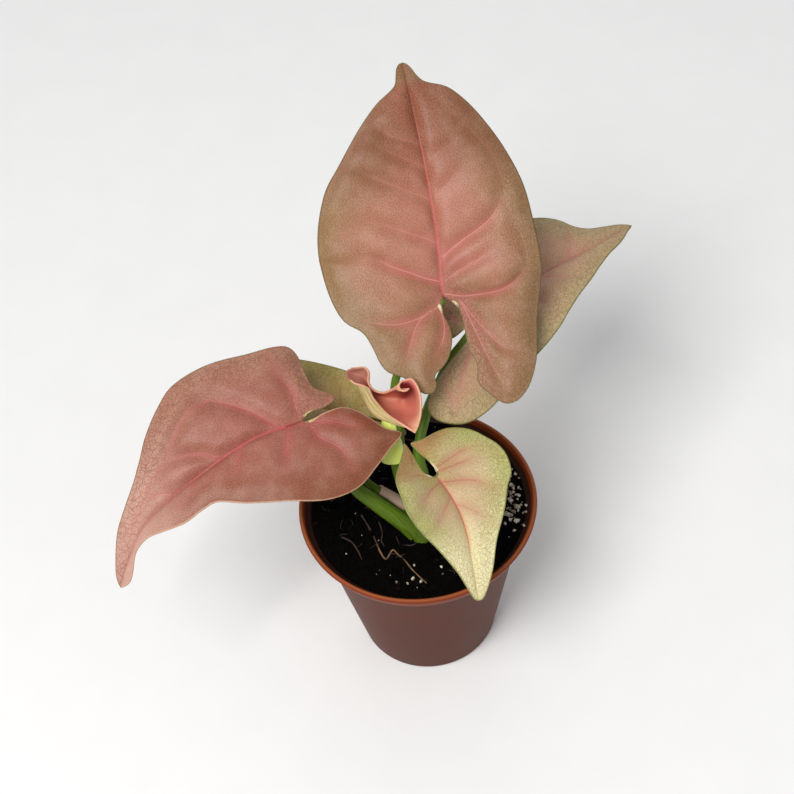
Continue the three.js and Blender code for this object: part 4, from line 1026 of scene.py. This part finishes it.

# ---- Young leaf --------------------------------------------------------------------------------------
# The youngest leaf is still half rolled like a cornet. Its inside is salmon pink, painted deep red in the
# hollow as shade over its deep pink, its outside cream and olive, and its margins have a cream rim.

# Stations from the left lobe to the tip, each from the near margin over the floor to the far margin,
# which rolls inwards near the tip.
YOUNG_STATIONS = [
    [(-12.6, 10.3, 88.6), (-13.4, 11.7, 88), (-13.6, 12.9, 88), (-13.5, 13.6, 88.1), (-13, 13.9, 88.3),
     (-12.3, 14, 88.4)],
    [(-11.6, 8.9, 88.9), (-12.2, 11, 87.4), (-12, 12.8, 86.8), (-11.7, 13.8, 86.9), (-11.2, 14, 87.7),
     (-10.7, 13.8, 88.6)],
    [(-10.2, 7.7, 89.5), (-11.1, 9.4, 87.7), (-10.3, 12.3, 86.3), (-9.8, 13.3, 86.3), (-9.3, 13.6, 87.4),
     (-8.9, 13.6, 88.6)],
    [(-9.1, 6.8, 89.8), (-10.6, 7.9, 87.8), (-9.4, 11, 85.7), (-8.7, 12.3, 85.2), (-8.3, 12.3, 86.8),
     (-8.1, 12.1, 88.4)],
    [(-8.4, 5.7, 90.3), (-10.1, 5.8, 88), (-9, 9.3, 85.5), (-8.4, 11, 84.6), (-8.4, 10.5, 86.3),
     (-8.4, 9.6, 88.3)],
    [(-7.6, 2.6, 90.5), (-9.3, 2.9, 88.2), (-7.9, 6.9, 85.4), (-7.2, 8.6, 84.8), (-7.2, 8, 86.5),
     (-7.5, 6.9, 88.4)],
    [(-5.9, -0.7, 90.5), (-8.2, 0.1, 88.3), (-6.2, 4.5, 85.5), (-5.2, 6.5, 85.5), (-5, 6.3, 87.1),
     (-5.3, 5.5, 88.6)],
    [(-4.5, -2.7, 90.2), (-6.7, -1.8, 88.2), (-4.1, 2.4, 85.4), (-2.4, 5.4, 85.8), (-2.4, 5.5, 88),
     (-3.3, 4.8, 90)],
    [(-2.9, -4.2, 89.7), (-4.3, -3, 87.9), (-1.3, 1.6, 85.1), (-0.1, 4.9, 85.8), (-0.8, 4.7, 88.8),
     (-1.8, 4.1, 91.7)],
    [(-0.9, -5.9, 89.1), (-0.9, -4.4, 87.6), (1.5, -0.9, 87.2), (2.1, 2.2, 90.1), (0.7, 3.9, 92.2),
     (-1.2, 3.8, 92.8)],
    [(1.1, -7.3, 88), (2.1, -5.4, 88.7), (3, -2.7, 90.3), (3.2, 0.9, 92.4), (1.9, 3.9, 94),
     (-0.3, 4, 93.8)],
]
STEPS_ACROSS = 18
STEPS_ALONG = 12
# The roll of the far margin: its steps, the degrees it turns at each, the share of the leaf where it
# starts to widen, its step up to there, and how much longer that is at the tip, in mm.
ROLL_STEPS = 16
ROLL_TURN = 14
ROLL_START = 0.7
ROLL_STEP = 0.02
ROLL_GROWTH = 0.29

# Young leaf, soft new tissue: moist, slightly see-through and glossier than the open blades.
inside, tree, shader = blank_finish("salmon_young_leaf", Roughness=0.5, IOR=1.42, Subsurface_Weight=0.2,
                                    Subsurface_Scale=0.001)
flat = put(tree, "Attribute", attribute_name="flat").outputs["Vector"]
across, down, _ = put(tree, "SeparateXYZ", {"Vector": flat}).outputs
stretch = put(tree, "Mapping", {"Vector": flat, "Scale": (9, 5, 0)})
streaks = put(tree, "TexNoise", {"Vector": stretch, "Scale": 1.6, "Detail": 4.0})
salmon = put(tree, "ValToRGB", {"Fac": down})
ramp = salmon.color_ramp
ramp.elements[0].position = 0.25
ramp.elements[0].color = linear("#BC8272")
ramp.elements[1].position = 1.0
ramp.elements[1].color = linear("#EAB48E")
for position, colour in ((0.42, "#C67658"), (0.66, "#D2846A"), (0.9, "#D87E6E")):
    ramp.elements.new(position).color = linear(colour)
light = put(tree, "Mix", {"Factor": 1.0, "A": salmon, "B": "#E8D8D0"}, data_type="RGBA",
            blend_type="MULTIPLY")
streaked = put(tree, "Mix", {"Factor": streaks, "A": light, "B": salmon}, data_type="RGBA")
# The far half is painted deep red where it rolls in, as the shade in the hollow over its deep pink, and
# pink at its end.
red = mask(tree, (down, 0.6, 0.84), (across, 0.42, 0.62))
pink = mask(tree, (down, 0.9, 0.99), (across, 0.84, 0.78))
deep = put(tree, "Mix", {"Factor": pink, "A": "#6E1018", "B": "#DC7C72"}, data_type="RGBA")
hollow_shaded = put(tree, "Mix", {"Factor": red, "A": streaked, "B": deep}, data_type="RGBA")
middle = put(tree, "Math", {0: across, 1: 0.5}, operation="SUBTRACT")
out = put(tree, "Math", {0: middle}, operation="ABSOLUTE")
margins = put(tree, "Math", {0: mask(tree, (out, 0.465, 0.49)), 1: mask(tree, (down, 0.98, 0.998))},
              operation="MAXIMUM")
edged = put(tree, "Mix", {"Factor": margins, "A": hollow_shaded, "B": "#E4A888"}, data_type="RGBA")
bump = put(tree, "Bump", {"Height": streaks, "Strength": 0.2, "Distance": 0.0002})
fill(tree, shader, {"Base Color": edged, "Normal": bump})

# Its underside, the same tissue: cream with olive streaks, and peach on the far half.
outside, tree, shader = blank_finish("cream_young_underside", Roughness=0.42, IOR=1.42,
                                     Subsurface_Weight=0.2, Subsurface_Scale=0.001)
flat = put(tree, "Attribute", attribute_name="flat").outputs["Vector"]
across, down, _ = put(tree, "SeparateXYZ", {"Vector": flat}).outputs
stretch = put(tree, "Mapping", {"Vector": flat, "Scale": (22, 2, 0)})
streaks = put(tree, "TexNoise", {"Vector": stretch, "Scale": 1.6, "Detail": 4.0})
streak = put(tree, "MapRange", {"Value": streaks, "From Min": 0.35, "From Max": 0.65})
olive = put(tree, "Mix", {"Factor": streak, "A": "#A68E56", "B": "#D2BC88"}, data_type="RGBA")
far = mask(tree, (across, 0.5, 0.7))
peach = put(tree, "Mix", {"Factor": far, "A": olive, "B": "#E0A080"}, data_type="RGBA")
bump = put(tree, "Bump", {"Height": streaks, "Strength": 0.3, "Distance": 0.0003})
fill(tree, shader, {"Base Color": peach, "Normal": bump})

bm = bmesh.new()
layer = bm.verts.layers.float_vector.new("flat")
curves = np.array([curve_through(station, STEPS_ACROSS)[1] for station in YOUNG_STATIONS])
columns, rows = curves.shape[1] - 1, STEPS_ALONG * (len(curves) - 1)
surface = curve_through(curves.reshape(len(curves), -1), STEPS_ALONG)[1]
surface = surface.reshape(rows + 1, columns + 1, 3)
# The far margin rolls inwards, wider towards the tip.
axis = unit(np.array([0, -0.5, 0.85]))
heading = surface[:, -1] - surface[:, -2]
heading = unit(heading - axis * (heading * axis).sum(-1, keepdims=True))
widening = np.clip((np.linspace(0, 1, rows + 1) - ROLL_START) / (1 - ROLL_START), 0, 1)
step = (ROLL_STEP + ROLL_GROWTH * widening ** 1.6)[:, None]
spiral = [surface[:, -1]]
for turn in np.radians(ROLL_TURN * np.arange(1, ROLL_STEPS + 1)):
    spiral.append(spiral[-1] + step * (heading * np.cos(turn) + np.cross(axis, heading) * np.sin(turn)))
surface = np.concatenate([surface, np.stack(spiral[1:], 1)], 1)
columns = columns + ROLL_STEPS
points, across, share = grid_shares(bm, columns, rows)
places = surface[np.rint(share * rows).astype(int), np.rint(across * columns).astype(int)]
place_points(points, places, [(layer, np.stack([across, share, 0 * share], -1))])
young = keep(bm, "young_leaf", [inside, outside], "blade_young")
thicken(young, BLADE_THICKNESS, 1)

# ---- Studio ------------------------------------------------------------------------------------------
# A pale floor under soft, even light. The camera looks down on the plant from the front.

PAPER_SIZE = 3
# The lens is 1515 px long for a frame 794 px wide.
SENSOR = 36
FOCAL = 1515 / 794 * SENSOR
CAMERA_PLACE = (-0.002147, -0.223104, 0.360726)
ELEVATION = math.radians(50.2)
ROLL = math.radians(-6.5)
LAMP_AIM = Vector((0, 0, 0.07))
# Lamps: place and size in metres, and power in watts.
LAMPS = {
    "key": ((-0.32, -0.42, 0.85), 0.45, 7.6),
    "fill": ((0.7, -0.3, 0.5), 0.7, 0.6),
    "back": ((0.1, 0.8, 0.6), 0.6, 0.9),
}

bm = bmesh.new()
bmesh.ops.create_grid(bm, x_segments=1, y_segments=1, size=PAPER_SIZE)
floor_mesh = bpy.data.meshes.new("floor")
bm.to_mesh(floor_mesh)
bm.free()
# Seamless paper, matt: an even off-white with a faint fibre.
paper, tree, shader = blank_finish("matt_paper", Roughness=0.9, Specular_IOR_Level=0.2)
place = put(tree, "TexCoord").outputs["Object"]
fibre = put(tree, "TexNoise", {"Vector": place, "Scale": 60.0, "Detail": 3.0})
paper_tone = put(tree, "Mix", {"Factor": fibre, "A": "#F1F0EE", "B": "#F6F5F3"}, data_type="RGBA")
fill(tree, shader, {"Base Color": paper_tone})
floor_mesh.materials.append(paper)
floor = bpy.data.objects.new("floor", floor_mesh)
bpy.context.collection.objects.link(floor)

world = bpy.data.worlds.new("soft_room")
world.use_nodes = True
fill(world.node_tree, world.node_tree.nodes["Background"], {"Color": "#F4F6FA", "Strength": 0.42})
bpy.context.scene.world = world

for name, (place, size, power) in LAMPS.items():
    light = bpy.data.lights.new(name, "AREA")
    light.size = size
    light.energy = power
    lamp = bpy.data.objects.new(name, light)
    lamp.location = place
    lamp.rotation_euler = (LAMP_AIM - Vector(place)).to_track_quat("-Z", "Y").to_euler()
    bpy.context.collection.objects.link(lamp)

back = Vector((0, -math.cos(ELEVATION), math.sin(ELEVATION)))
right = Vector((1, 0, 0))
above = back.cross(right)
lens = bpy.data.cameras.new("camera")
lens.lens = FOCAL
lens.sensor_width = SENSOR
lens.clip_start = 0.01
camera = bpy.data.objects.new("camera", lens)
turned = Matrix((right * math.cos(ROLL) + above * math.sin(ROLL),
                 above * math.cos(ROLL) - right * math.sin(ROLL), back)).transposed()
camera.matrix_world = Matrix.Translation(CAMERA_PLACE) @ turned.to_4x4()
bpy.context.collection.objects.link(camera)
bpy.context.scene.camera = camera
bpy.context.scene.view_settings.view_transform = "Standard"
